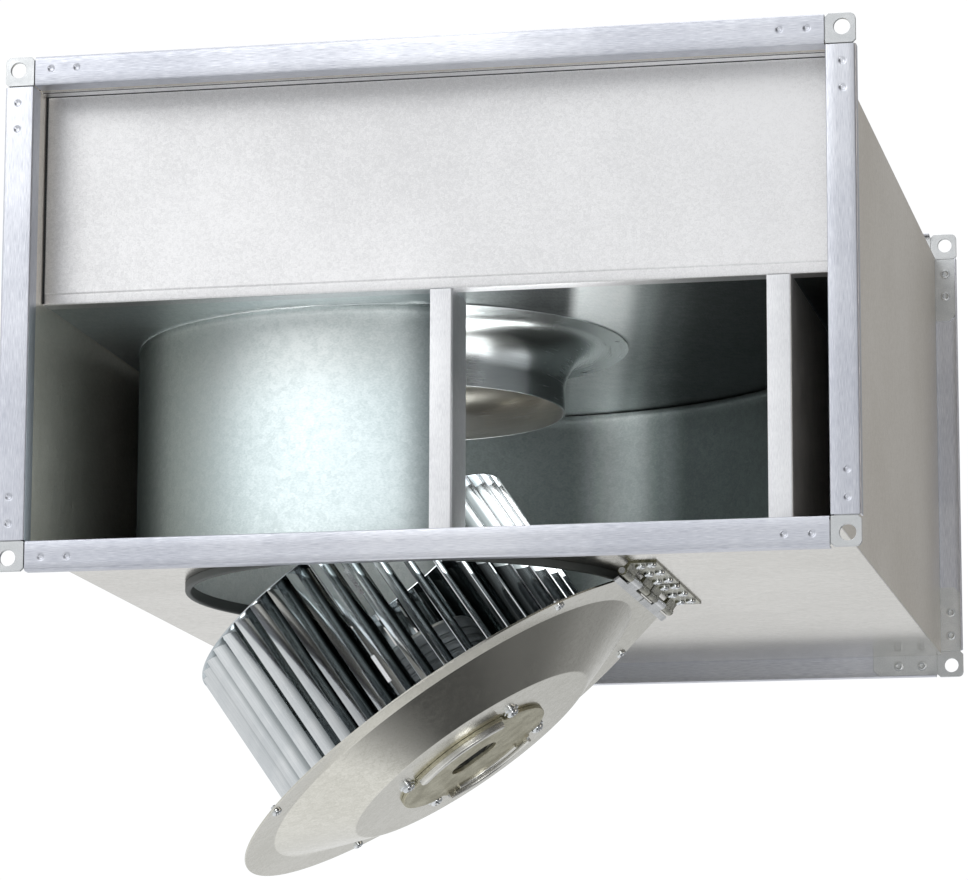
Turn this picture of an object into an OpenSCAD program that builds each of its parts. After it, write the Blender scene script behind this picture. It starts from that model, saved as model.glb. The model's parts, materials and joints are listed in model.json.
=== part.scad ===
// In-line duct fan with a swing-out motor and impeller unit.
// Origin: centre of the outlet flange face. X to the right as seen from the outlet,
// Y along the duct from outlet to inlet, Z up. All sizes in millimetres.

/* [Duct and casing] */
// Inside width of the duct
duct_w = 600; // [500:1:760]
// Inside height of the duct
duct_h = 350; // [290:1:450]
// Length over both flange faces
length = 710; // [600:1:900]
// Thickness of the casing sheet
sheet_t = 1.2; // [0.8:0.1:2]

/* [Flanges] */
// Width of a flange bar outside the duct
flange_w = 20; // [16:0.5:30]
// Thickness of a flange bar's folded sheet
flange_t = 1.2; // [1:0.1:2]
// Depth of a bar's outer return
return_d = 10; // [6:0.5:20]
// Thickness of the folded lip that holds the duct sheet
lip_t = 2.4; // [1.2:0.1:4]
// Depth of that lip
lip_d = 17; // [10:0.5:30]
// Thickness of a corner plate
corner_t = 2; // [1.5:0.1:4]
// Diameter of a corner bolt hole
bolt_d = 12; // [8:0.5:13]
// Distance of a corner hole from both outer edges
bolt_edge = 10; // [9:0.5:14]
// Distance from a corner hole to the end of a plate's leg
leg_reach = 57.5; // [50:0.5:80]
// Distances from a corner hole to the two press joints of a leg
joint_at = [25.5, 45.5];
// Diameter of a press joint's pit
pit_d = 5; // [3:0.5:6]

/* [Divider] */
// Height of the divider's underside above the duct centre
divider_z = 14; // [-10:1:40]
// Distance from the outlet face to the front panel
panel_y = 40; // [30:1:80]
// Distance from the inlet face to the rear panel
rear_panel_y = 40; // [30:1:80]
// Width of the folds along the panels and the divider
fold_w = 14; // [8:1:20]

/* [Swing-out unit] */
// Impeller centre to the duct centre, across
fan_x = -61; // [-90:1:-40]
// Impeller centre behind the outlet face
fan_y = 250; // [235:1:300]
// Distance from the impeller axis to the hinge axis
hinge_s = 182; // [178:1:230]
// Angle at which the unit stands open
open_angle = 34.8; // [0:0.1:90]
// Radius of the access hole in the bottom plate
access_r = 174.5; // [170:0.5:215]
// Radial thickness of the seal below the plate
seal_w = 4.5; // [3:0.5:8]
// Height of the hinge axis below the casing's inside
hinge_drop = 8; // [7:0.5:15]
// Gap between the closed door and the seal
seal_gap = 0.4; // [0.3:0.1:2]

/* [Door] */
// Radius of the door
door_r = 191.5; // [186:0.5:235]
// Thickness of the door sheet
door_t = 1.5; // [1:0.1:3]
// Inner radius of the flat rim
door_rim_r = 165; // [150:0.5:169]
// Radius of the flat bottom
door_flat_r = 107; // [95:1:140]
// Depth of the dished part
door_dish = 24.4; // [10:0.1:40]
// Half length of the straight hinge edge
door_edge_half = 88; // [70:1:110]
// Radius on which the door screws stand
door_screw_r = 184.5; // [182:0.5:230]

/* [Hinges] */
// Length of one hinge
hinge_len = 104; // [80:1:130]
// Gap between the two hinges
hinge_gap = 4; // [2:1:20]
// Shift of the hinge pair behind the impeller centre
hinge_shift = 10; // [0:1:30]
// Outer radius of a hinge knuckle
knuckle_r = 3.5; // [3:0.1:5]
// Radius of a hinge pin
pin_r = 1.6; // [1:0.1:2.2]
// Thickness of a hinge leaf
leaf_t = 1.5; // [1:0.1:2.5]
// Width of the leaf on the casing
leaf_w = 21; // [18:0.5:30]
// Width of the door's leaf under the door
leaf_lap = 5; // [4:0.5:12]

/* [Impeller] */
// Outer radius of the impeller
wheel_r = 140; // [130:1:155]
// Radius of the eye and of the blades' inner edges
eye_r = 117; // [100:1:122]
// Number of blades
blade_count = 44; // [30:1:48]
// Thickness of a blade
blade_t = 0.8; // [0.5:0.1:1.5]
// Angle through which a blade bends from heel to tip
blade_turn = 66; // [20:1:75]
// Height of the impeller's inlet ring above the hinge axis
wheel_top = 141; // [120:1:146]
// Height of the back plate above the door's rim
wheel_foot = 4; // [3:0.5:12]
// Thickness of the impeller's plates
wheel_t = 1.2; // [0.8:0.1:2.5]

/* [Inlet cone] */
// Radius of the throat
throat_r = 117; // [100:1:119]
// Radius of the bell's curve
bell_r = 34; // [20:1:40]
// Outer radius of the cone's flange
cone_rim_r = 168; // [160:1:178]
// Gap between the cone's lip and the impeller ring
cone_gap = 3.5; // [2:0.5:10]

/* [Scroll] */
// Impeller rim to the scroll's foremost point
scroll_front = 26; // [18:1:50]
// Impeller rim to the scroll's leftmost point
scroll_left = 83; // [60:1:90]
// Impeller rim to the scroll's rearmost point
scroll_back = 155; // [110:1:200]
// Impeller rim to the straight outlet wall
scroll_right = 186; // [150:1:200]
// Radius of the scroll's first arc
scroll_r1 = 192; // [180:1:205]
// Radius of the tongue's nose
nose_r = 18; // [10:1:22]
// Flow side of the tongue to the duct centre
tongue_x = 15; // [5:1:20]
// Width of the folded strips at the outlet
strip_w = 17; // [12:1:25]

/* [Motor] */
// Outer radius of the rotor shell
rotor_r = 60; // [52:1:66]
// Height of the rotor shell
rotor_h = 68; // [60:1:80]
// Wall of the rotor shell
rotor_wall = 13; // [8:1:15]
// Radial air gap between stator and rotor
air_gap = 1; // [0.5:0.1:2]
// Radius of the shaft
shaft_r = 6; // [5:0.5:8]
// Outer radius of a bearing
bearing_r = 14; // [12:0.5:16]
// Width of a bearing
bearing_w = 10; // [8:0.5:12]
// Radius of the motor plate under the door
motor_plate_r = 65; // [60:1:68]
// Radius on which the motor screws stand
motor_screw_r = 69; // [66:0.5:80]

/* [Terminal box] */
// Length of the box along the duct
box_l = 110; // [80:1:150]
// Height of the box
box_h = 80; // [60:1:110]
// Depth of the box from the casing's side
box_d = 45; // [35:1:70]
// Distance from the outlet face to the box centre
box_y = 470; // [380:1:520]

/* [Hidden] */
$fn = 96;
fit = 0.05;       // radial clearance of a running fit
loose = 0.2;      // clearance of a screw in its hole
eps = 0.01;

// Casing and flanges
half_w = duct_w / 2;
half_h = duct_h / 2;
out_w = half_w + flange_w;
out_h = half_h + flange_w;
hole_x = out_w - bolt_edge;
hole_z = out_h - bolt_edge;
bar_gap = 0.6;                           // between a bar's end and the bar across it
wrap_y = flange_t + corner_t + loose;    // the duct sheet starts behind the corner plates
plate_gap = 0.4;                         // corner plate leg to the bar's folds
corner_chamfer = 5;
notch = 2.5;
pit_depth = 0.7;

// Swing-out unit, described closed; swung() opens it
hinge_x = fan_x + hinge_s;
hinge_z = -half_h - hinge_drop;
hinge_y = fan_y + hinge_shift;
rim_top = hinge_z;
dish_top = rim_top - door_dish;          // inside of the flat bottom
dish_low = dish_top - door_t;            // outside of the flat bottom
seal_low = rim_top + seal_gap;
seal_in = access_r - 2;
edge_gap = 1;                            // door edge to knuckles
edge_x = hinge_x - knuckle_r - edge_gap;
door_screw_angles = [45:90:315];

// Impeller
ring_top = hinge_z + wheel_top;
back_low = rim_top + wheel_foot;
back_top = back_low + wheel_t;
blade_low = back_top;
blade_high = ring_top - wheel_t;
blade_tip = wheel_r - 0.6;
blade_side = 1 - cos(blade_turn);
blade_reach = pow(sin(blade_turn), 2) + pow(blade_side, 2);
blade_bend = (sqrt(pow(eye_r * sin(blade_turn), 2) + blade_reach * (pow(blade_tip, 2) - pow(eye_r, 2)))
              - eye_r * sin(blade_turn)) / blade_reach;      // radius on which a blade is bent

clip_len = 24;

// Inlet cone
cone_top = divider_z;
lip_z = ring_top + cone_gap;
bell_x = throat_r + sheet_t + bell_r;    // centre of the bell's curve, from the axis
bell_z = cone_top - sheet_t - bell_r;
divider_hole_r = bell_x + 3;
cone_rivet_r = (divider_hole_r + cone_rim_r) / 2;

// Scroll: three tangent arcs, seen from above, and a nose tangent to the first
scroll_x0 = fan_x - wheel_r - scroll_left;
scroll_y0 = fan_y - wheel_r - scroll_front;
scroll_y1 = fan_y + wheel_r + scroll_back;
scroll_x1 = fan_x + wheel_r + scroll_right;
arc1 = [scroll_x0 + scroll_r1, scroll_y0 + scroll_r1];
arc2_r = scroll_y1 - arc1[1];
arc2 = [scroll_x0 + arc2_r, arc1[1]];
arc3_r = scroll_x1 - arc2[0];
arc3 = [arc2[0], scroll_y1 - arc3_r];
nose_x = tongue_x - nose_r;
nose_dx = nose_x - arc1[0];
nose_y = arc1[1] - sqrt(pow(scroll_r1 + nose_r, 2) - pow(nose_dx, 2));
nose_turn = atan2(arc1[1] - nose_y, -nose_dx);
scroll_t = 1;
scroll_low = -half_h + sheet_t + loose;
scroll_top = divider_z - sheet_t - 0.1;

// Motor, from the door upwards
plate_t = 3;
rib_h = 5;
washer_r = 6.6;
nut_h = 5;
seat_t = 5;                              // flange on the door's inside
seat_r = motor_screw_r + 7;
spigot_r = motor_plate_r - 9;
flange_low = dish_low;
tube_r = bearing_r + 3;
bearing_z0 = flange_low + 5;
rotor_low = back_low - 6;
rotor_top = rotor_low + rotor_h;
rotor_in = rotor_r - rotor_wall;
cage_t = 2;
core_r = rotor_in - cage_t - air_gap;
core_low = rotor_low + 4;
core_h = 38;
tube_top = rotor_top - 13;
bearing_z1 = tube_top - bearing_w;
hub_flange_r = rotor_r + 12;
hub_rivet_r = rotor_r + 6;

// Terminal box on the left side
box_x = -half_w - sheet_t;
box_wall = 2.5;
box_z = 60;

function arc_points(c, r, a0, a1, n) =
    [for (i = [0:n]) c + r * [cos(a0 + (a1 - a0) * i / n), sin(a0 + (a1 - a0) * i / n)]];
function reversed(p) = [for (i = [len(p) - 1:-1:0]) p[i]];

// Turns a piece of the swing-out unit about the hinge axis to where it stands open.
module swung() {
    translate([hinge_x, 0, hinge_z]) rotate([0, -open_angle, 0])
        translate([-hinge_x, 0, -hinge_z]) children();
}

module on_axis(z = 0) { translate([fan_x, fan_y, z]) children(); }

module ring(r_out, r_in, h) {
    difference() {
        cylinder(r = r_out, h = h);
        translate([0, 0, -1]) cylinder(r = r_in, h = h + 2);
    }
}

module around(angles, r) { for (a = angles) rotate([0, 0, a]) translate([r, 0, 0]) children(); }

// Places a piece drawn for the outlet end at the inlet end.
module at_rear() { translate([0, length, 0]) mirror([0, 1, 0]) children(); }

// ---- casing -------------------------------------------------------------------------------

module casing_wrap() {
    color("#b9b7b1") {
        translate([-half_w - sheet_t, wrap_y, half_h])
            cube([duct_w + 2 * sheet_t, length - 2 * wrap_y, sheet_t]);
        difference() {
            for (side = [-1, 1])
                translate([side > 0 ? half_w : -half_w - sheet_t, wrap_y, -half_h])
                    cube([sheet_t, length - 2 * wrap_y, duct_h]);
            translate([box_x - 1, box_y, box_z]) rotate([0, 90, 0]) cylinder(r = 12, h = sheet_t + 2);
        }
    }
}

module bottom_plate() {
    color("#b9b7b1") difference() {
        translate([-half_w - sheet_t, wrap_y, -half_h - sheet_t])
            cube([duct_w + 2 * sheet_t, length - 2 * wrap_y, sheet_t]);
        on_axis(-half_h - sheet_t - 1) {
            cylinder(r = access_r, h = sheet_t + 2);
            around(door_screw_angles, door_screw_r) cylinder(r = 4 + eps, h = sheet_t + 2);
        }
        hinge_holes() cylinder(r = 2 + loose, h = 20, center = true);
    }
}

// One flange bar along X, its outer edge up, with the pits of its press joints.
module bar(len) {
    outer = [[-lip_t, 0], [flange_w, 0], [flange_w, return_d], [flange_w - flange_t, return_d],
             [flange_w - flange_t, flange_t], [0, flange_t], [0, lip_d], [-lip_t, lip_d]];
    difference() {
        rotate([90, 0, 90]) translate([0, 0, -len / 2])
            linear_extrude(len) polygon([for (p = outer) [p[1], p[0]]]);
        for (s = [-1, 1], d = joint_at)
            translate([s * (len / 2 + bar_gap + lip_t + flange_w - bolt_edge - d),
                       -1, flange_w - bolt_edge])
                rotate([-90, 0, 0]) cylinder(d = pit_d, h = 1 + pit_depth, $fn = 24);
    }
}

bar_w = 2 * (half_w - lip_t - bar_gap);
bar_h = 2 * (half_h - lip_t - bar_gap);
module bar_top() { color("#c3c7cd") translate([0, 0, half_h]) bar(bar_w); }
module bar_bottom() { mirror([0, 0, 1]) bar_top(); }
module bar_right() { color("#c3c7cd") translate([half_w, 0, 0]) rotate([0, 90, 0]) bar(bar_h); }
module bar_left() { mirror([1, 0, 0]) bar_right(); }

module front_flange_top() { bar_top(); }
module front_flange_bottom() { bar_bottom(); }
module front_flange_left() { bar_left(); }
module front_flange_right() { bar_right(); }
module rear_flange_top() { at_rear() bar_top(); }
module rear_flange_bottom() { at_rear() bar_bottom(); }
module rear_flange_left() { at_rear() bar_left(); }
module rear_flange_right() { at_rear() bar_right(); }

// One corner plate at +X +Z: a square with the bolt hole and two legs inside the bars.
module corner_plate() {
    x0 = half_w - lip_t + loose;
    z0 = half_h - lip_t + loose;
    leg_in = plate_gap;
    leg_out = flange_w - flange_t - plate_gap;
    c = corner_chamfer;
    square_outline = [[x0, z0], [out_w - notch, z0], [out_w, z0 + notch], [out_w, out_h - c],
                      [out_w - c, out_h], [x0 + notch, out_h], [x0, out_h - notch]];
    leg_x = [[hole_x - leg_reach, half_h + leg_in], [x0 + eps, half_h + leg_in],
             [x0 + eps, half_h + leg_out], [hole_x - leg_reach + c, half_h + leg_out],
             [hole_x - leg_reach, half_h + leg_out - c]];
    leg_z = [[half_w + leg_in, hole_z - leg_reach], [half_w + leg_out - c, hole_z - leg_reach],
             [half_w + leg_out, hole_z - leg_reach + c], [half_w + leg_out, z0 + eps],
             [half_w + leg_in, z0 + eps]];
    back = flange_t + corner_t;
    difference() {
        union() {
            translate([0, back, 0]) rotate([90, 0, 0]) {
                linear_extrude(back) polygon(square_outline);
                linear_extrude(corner_t) polygon(leg_x);
                linear_extrude(corner_t) polygon(leg_z);
            }
            for (d = joint_at, p = [[hole_x - d, hole_z], [hole_x, hole_z - d]])
                translate([p[0], back - eps, p[1]]) rotate([-90, 0, 0])
                    cylinder(d = pit_d + 3, h = 1.2, $fn = 24);
        }
        translate([hole_x, -1, hole_z]) rotate([-90, 0, 0]) cylinder(d = bolt_d, h = back + 2);
    }
}

module corner_plates() {
    color("#cfd2d6") for (mx = [0, 1], mz = [0, 1])
        mirror([mx, 0, 0]) mirror([0, 0, mz]) corner_plate();
}
module front_corner_plates() { corner_plates(); }
module rear_corner_plates() { at_rear() corner_plates(); }

// ---- divider, panels and cone --------------------------------------------------------------

module front_panel() {
    color("#d6d6d4") translate([-half_w, 0, 0]) {
        translate([0, panel_y, divider_z - sheet_t])
            cube([duct_w, sheet_t, half_h - divider_z + sheet_t]);
        translate([0, panel_y - fold_w, half_h - sheet_t]) cube([duct_w, fold_w + eps, sheet_t]);
        translate([0, panel_y + sheet_t - eps, divider_z - sheet_t]) cube([duct_w, fold_w, sheet_t]);
    }
}

panel_back = length - rear_panel_y;
module divider_plate() {
    y0 = panel_y + sheet_t;
    color("#b4b8b8") difference() {
        translate([-half_w, y0, divider_z]) {
            cube([duct_w, panel_back - y0, sheet_t]);
            for (x = [0, duct_w - sheet_t])
                translate([x, 0, sheet_t - eps]) cube([sheet_t, panel_back - y0, fold_w]);
        }
        on_axis(divider_z - 1) cylinder(r = divider_hole_r, h = sheet_t + 2);
        on_axis(divider_z - 1) around([0:45:315], cone_rivet_r)
            cylinder(r = 2 + fit, h = sheet_t + 2, $fn = 24);
    }
}

module rear_panel() {
    color("#b4b8b8") translate([-half_w, 0, 0]) {
        translate([0, panel_back, -half_h]) cube([duct_w, sheet_t, half_h + divider_z + sheet_t]);
        translate([0, panel_back - fold_w, divider_z - sheet_t])
            cube([duct_w, fold_w + eps, sheet_t]);
        translate([0, panel_back + sheet_t - eps, -half_h]) cube([duct_w, fold_w, sheet_t]);
    }
}

// A flange under the divider, a quarter bell and a straight throat, all one spun sheet.
module inlet_cone() {
    low = cone_top - sheet_t;
    profile = concat(
        [[cone_rim_r, low], [cone_rim_r, cone_top]],
        arc_points([bell_x, bell_z], bell_r + sheet_t, 90, 180, 16),
        [[throat_r, lip_z], [throat_r + sheet_t, lip_z]],
        arc_points([bell_x, bell_z], bell_r, 180, 90, 16));
    color("#a8acae") on_axis() difference() {
        rotate_extrude($fn = 128) polygon(profile);
        translate([0, 0, low - 1])
            around([0:45:315], cone_rivet_r) cylinder(r = 2 + fit, h = sheet_t + 2, $fn = 24);
    }
}

// Countersunk rivets, flush below and with a head on top.
module cone_rivets() {
    color("#c9ccce") on_axis() around([0:45:315], cone_rivet_r) {
        translate([0, 0, cone_top - sheet_t]) cylinder(r = 2, h = 2 * sheet_t, $fn = 24);
        translate([0, 0, cone_top + sheet_t]) cylinder(r = 3.2, h = 1, $fn = 24);
    }
}

// ---- scroll ---------------------------------------------------------------------------------

module scroll_wall() {
    inner = concat(arc_points(arc1, scroll_r1, nose_turn - 180, -180, 28),
                   arc_points(arc2, arc2_r, 180 - 3, 90, 28),
                   arc_points(arc3, arc3_r, 90 - 3, 0, 28));
    outer = concat(arc_points(arc1, scroll_r1 + scroll_t, nose_turn - 180, -180, 28),
                   arc_points(arc2, arc2_r + scroll_t, 180 - 3, 90, 28),
                   arc_points(arc3, arc3_r + scroll_t, 90 - 3, 0, 28));
    color("#9fb0b0") translate([0, 0, scroll_low])
        linear_extrude(scroll_top - scroll_low) polygon(concat(inner, reversed(outer)));
}

// The strip that faces the outlet, the return behind it and the rounded nose.
module tongue_post() {
    flow = arc_points([nose_x, nose_y], nose_r, 0, nose_turn, 16);
    back = arc_points([nose_x, nose_y], nose_r - scroll_t, 0, nose_turn, 16);
    outline = concat([[tongue_x, panel_y]], flow, reversed(back),
                     [[tongue_x - scroll_t, panel_y + scroll_t],
                      [tongue_x - strip_w, panel_y + scroll_t], [tongue_x - strip_w, panel_y]]);
    color("#dcdde0") translate([0, 0, scroll_low])
        linear_extrude(scroll_top - scroll_low) polygon(outline);
}

module outlet_wall() {
    x = scroll_x1;
    outline = [[x, arc3[1]], [x, panel_y + scroll_t], [x - strip_w, panel_y + scroll_t],
               [x - strip_w, panel_y], [x + scroll_t, panel_y], [x + scroll_t, arc3[1]]];
    color("#dcdde0") translate([0, 0, scroll_low])
        linear_extrude(scroll_top - scroll_low) polygon(outline);
}

// ---- access hole, seal and hinges -----------------------------------------------------------

// Edge profile clipped over the rim of the access hole.
module access_seal() {
    low = -half_h - sheet_t;
    color("#4a4d4c") on_axis() rotate_extrude($fn = 128) polygon([
        [seal_in, seal_low], [seal_in + seal_w, seal_low], [seal_in + seal_w, low],
        [access_r, low], [access_r, -half_h], [seal_in + seal_w - 1, -half_h],
        [seal_in + seal_w - 1, -half_h + 1.2], [seal_in, -half_h + 1.2]]);
}

module door_nuts() {
    color("#c8cacb") on_axis(-half_h - sheet_t) around(door_screw_angles, door_screw_r)
        difference() {
            union() {
                cylinder(r = 4, h = 10, $fn = 32);
                translate([0, 0, sheet_t]) cylinder(r = 6, h = 1.5, $fn = 32);
            }
            translate([0, 0, -1]) cylinder(r = 2.1, h = 12, $fn = 32);
        }
}

// Screw places on the casing leaves: two rows of three on each hinge.
module hinge_holes() {
    for (side = [-1, 1], k = [-1, 0, 1], row = [0, 1])
        translate([hinge_x + 11.2 + row * 9.5,
                   hinge_y + side * (hinge_len + hinge_gap) / 2 + k * (hinge_len / 2 - 14) - row * 6,
                   -half_h - sheet_t]) children();
}

// Three knuckles: the casing leaf carries the outer two, the door leaf the middle one.
knuckle_gap = 0.3;
mid_knuckle = hinge_len / 3;

module knuckle(y0, y1) {
    translate([hinge_x, y0, hinge_z]) rotate([-90, 0, 0]) cylinder(r = knuckle_r, h = y1 - y0, $fn = 48);
}

module pin_bore(y0, y1) {
    translate([hinge_x, y0 - 1, hinge_z]) rotate([-90, 0, 0])
        cylinder(r = pin_r + fit, h = y1 - y0 + 2, $fn = 48);
}

module casing_leaf(y0) {
    plate_top = -half_h - sheet_t;
    spans = [[y0, y0 + mid_knuckle - knuckle_gap],
             [y0 + 2 * mid_knuckle + knuckle_gap, y0 + hinge_len]];
    web = [[hinge_x - 1, hinge_z + 1], [hinge_x + 2, hinge_z - 1], [hinge_x + 6.5, plate_top - leaf_t],
           [hinge_x + 6.5, plate_top], [hinge_x + 5, plate_top]];
    color("#d8d6c8") difference() {
        union() {
            translate([hinge_x + 5, y0, plate_top - leaf_t]) cube([leaf_w, hinge_len, leaf_t]);
            for (s = spans) {
                knuckle(s[0], s[1]);
                translate([0, s[1], 0]) rotate([90, 0, 0]) linear_extrude(s[1] - s[0]) polygon(web);
            }
        }
        pin_bore(y0, y0 + hinge_len);
        hinge_holes() cylinder(r = 2 + loose, h = 20, center = true, $fn = 24);
    }
}

module door_leaf(y0) {
    top = rim_top - door_t;
    m0 = y0 + mid_knuckle;
    m1 = y0 + 2 * mid_knuckle;
    color("#d9d2a8") swung() difference() {
        union() {
            translate([edge_x - leaf_lap, y0, top - leaf_t]) cube([leaf_lap, hinge_len, leaf_t]);
            translate([edge_x - eps, m0, top - leaf_t]) cube([edge_gap + knuckle_r + eps, m1 - m0, leaf_t]);
            knuckle(m0, m1);
        }
        pin_bore(y0, y0 + hinge_len);
    }
}

module hinge_pin(y0) {
    color("#c9cbce") translate([hinge_x, y0 - 1.5, hinge_z]) rotate([-90, 0, 0]) {
        cylinder(r = pin_r, h = hinge_len + 3, $fn = 48);
        cylinder(r = pin_r + 0.9, h = 1.2, $fn = 48);
        translate([0, 0, hinge_len + 1.8]) cylinder(r = pin_r + 0.9, h = 1.2, $fn = 48);
    }
}

hinge_y0 = hinge_y - hinge_gap / 2 - hinge_len;
hinge_y1 = hinge_y + hinge_gap / 2;
module casing_leaf_front() { casing_leaf(hinge_y0); }
module casing_leaf_rear() { casing_leaf(hinge_y1); }
module door_leaf_front() { door_leaf(hinge_y0); }
module door_leaf_rear() { door_leaf(hinge_y1); }
module hinge_pin_front() { hinge_pin(hinge_y0); }
module hinge_pin_rear() { hinge_pin(hinge_y1); }

module hinge_screws() {
    color("#e6e8ea") hinge_holes() {
        translate([0, 0, -leaf_t]) cylinder(r = 2, h = leaf_t + sheet_t + 5, $fn = 24);
        translate([0, 0, -leaf_t - 2.6]) cylinder(r = 4, h = 2.6, $fn = 32);
    }
}

// ---- terminal box ---------------------------------------------------------------------------

module box_corners() {
    for (sy = [-1, 1], sz = [-1, 1])
        translate([0, box_y + sy * (box_l / 2 - 7), box_z + sz * (box_h / 2 - 7)]) children();
}

module terminal_box() {
    color("#8f9396") difference() {
        translate([box_x - box_d, box_y - box_l / 2, box_z - box_h / 2]) cube([box_d, box_l, box_h]);
        difference() {
            translate([box_x - box_d - 1, box_y - box_l / 2 + box_wall, box_z - box_h / 2 + box_wall])
                cube([box_d + 1 - box_wall, box_l - 2 * box_wall, box_h - 2 * box_wall]);
            box_corners() translate([box_x - box_d - 2, 0, 0]) rotate([0, 90, 0])
                cylinder(r = 5, h = box_d, $fn = 32);
        }
        box_corners() translate([box_x - box_d - 1, 0, 0]) rotate([0, 90, 0])
            cylinder(r = 1.6, h = 20, $fn = 24);
        translate([box_x - box_wall - 1, box_y, box_z]) rotate([0, 90, 0])
            cylinder(r = 10, h = box_wall + 2, $fn = 48);
        translate([box_x - box_d / 2, box_y, box_z - box_h / 2 - 1])
            cylinder(r = 8 + fit, h = box_wall + 2, $fn = 48);
    }
}

module terminal_lid() {
    color("#84888b") translate([box_x - box_d - 3, 0, 0]) difference() {
        translate([0, box_y - box_l / 2 - 1, box_z - box_h / 2 - 1]) cube([3, box_l + 2, box_h + 2]);
        box_corners() translate([-1, 0, 0]) rotate([0, 90, 0]) cylinder(r = 2.2, h = 5, $fn = 24);
    }
}

module terminal_lid_screws() {
    color("#d7d9da") box_corners() translate([box_x - box_d - 5, 0, 0]) rotate([0, 90, 0]) {
        cylinder(r = 3.5, h = 2, $fn = 32);
        cylinder(r = 1.5, h = 18, $fn = 24);
    }
}

module terminal_block() {
    w = 62;
    color("#d9d7cc") translate([box_x - box_wall - 16, box_y - w / 2, box_z + 14]) difference() {
        cube([16, w, 16]);
        for (k = [0:5]) translate([-1, 6 + 10 * k, 8]) rotate([0, 90, 0])
            cylinder(r = 2.5, h = 9, $fn = 24);
    }
}

module cable_gland() {
    color("#5d6164") translate([box_x - box_d / 2, box_y, box_z - box_h / 2]) difference() {
        union() {
            translate([0, 0, -18]) cylinder(r = 8, h = 26, $fn = 48);
            translate([0, 0, -8]) cylinder(r = 13, h = 8, $fn = 6);
            translate([0, 0, -22]) cylinder(r = 11.5, h = 12, $fn = 48);
            translate([0, 0, box_wall]) cylinder(r = 12, h = 4, $fn = 6);
        }
        translate([0, 0, -30]) cylinder(r = 4.5, h = 50, $fn = 32);
    }
}

// ---- door -----------------------------------------------------------------------------------

// Outline of the door from above, about the impeller axis: a disc with a straight hinge edge.
module door_outline() {
    d = edge_x - fan_x;
    s = hinge_shift;
    difference() {
        union() {
            circle(r = door_r, $fn = 180);
            for (m = [-1, 1]) {
                corner = [d, s + m * door_edge_half];
                reach = norm(corner);
                a = atan2(corner[1], corner[0]) + m * acos(min(1, door_r / reach));
                polygon([[0, 0], [d, s], corner, door_r * [cos(a), sin(a)]]);
            }
        }
        translate([d, -2 * door_r]) square([door_r, 4 * door_r]);
    }
}

module door_plate() {
    color("#b5b5a6") swung() on_axis() difference() {
        union() {
            translate([0, 0, rim_top - door_t]) linear_extrude(door_t) difference() {
                door_outline();
                circle(r = door_rim_r - eps);
            }
            rotate_extrude($fn = 128) polygon([
                [door_rim_r, rim_top], [door_rim_r, rim_top - door_t],
                [door_flat_r + 1, dish_low], [spigot_r + loose, dish_low],
                [spigot_r + loose, dish_top], [door_flat_r, dish_top], [door_rim_r - 1, rim_top]]);
        }
        translate([0, 0, dish_low - 1]) around([45:90:315], motor_screw_r)
            cylinder(r = 3 + loose, h = door_t + 2, $fn = 32);
        translate([0, 0, rim_top - door_t - 1]) around(door_screw_angles, door_screw_r)
            cylinder(r = 2.5 + loose, h = door_t + 2, $fn = 32);
    }
}

// Captive screws, drawn backed out so that the door is free to swing.
module door_screws() {
    color("#d5d7d4") swung() on_axis() around(door_screw_angles, door_screw_r) {
        translate([0, 0, rim_top - door_t - 3]) cylinder(r = 4.4, h = 3, $fn = 32);
        translate([0, 0, rim_top - door_t]) cylinder(r = 2.5, h = door_t + 5, $fn = 32);
    }
}

// ---- motor ----------------------------------------------------------------------------------

// Outline of a curved rib, centred on direction a.
module rib_outline(r_out, r_in, a, half) {
    polygon(concat(arc_points([0, 0], r_out, a - half, a + half, 20),
                   arc_points([0, 0], r_in, a + half, a - half, 20)));
}

// Round end plate of the motor, under the door: two raised arc ribs, a slotted opening in the
// middle and a scallop round each of the four screws.
module motor_plate() {
    color("#a09c88") swung() on_axis(dish_low - plate_t) difference() {
        union() {
            cylinder(r = motor_plate_r, h = plate_t);
            for (a = [90, 270]) translate([0, 0, -rib_h]) linear_extrude(rib_h + 1)
                rib_outline(motor_plate_r - 1, motor_plate_r - 8, a, 38);
        }
        translate([0, 0, -1]) {
            for (s = [-1, 1]) translate([s * 8, 0, 0]) cylinder(r = 12.5, h = plate_t + 2);
            translate([-8, -12.5, 0]) cube([16, 25, plate_t + 2]);
            around([45:90:315], motor_screw_r) cylinder(r = washer_r + 1.5, h = plate_t + 2, $fn = 48);
            translate([5, 16 - motor_plate_r, 0]) cylinder(r = 2, h = plate_t + 2, $fn = 24);
        }
    }
}

module motor_screws() {
    color("#dfe2e3") swung() on_axis(dish_low) around([45:90:315], motor_screw_r) {
        cylinder(r = 3, h = door_t + seat_t + nut_h + 1, $fn = 32);
        translate([0, 0, -1.2]) cylinder(r = washer_r, h = 1.2, $fn = 48);
        translate([0, 0, -5.2]) cylinder(r = 5.2, h = 4.1, $fn = 48);
    }
}

module motor_nuts() {
    color("#d3d5d2") swung() on_axis(dish_top + seat_t) around([45:90:315], motor_screw_r)
        difference() {
            cylinder(r = 5.8, h = nut_h, $fn = 6);
            translate([0, 0, -1]) cylinder(r = 3 + fit, h = nut_h + 2, $fn = 32);
        }
}

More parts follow.
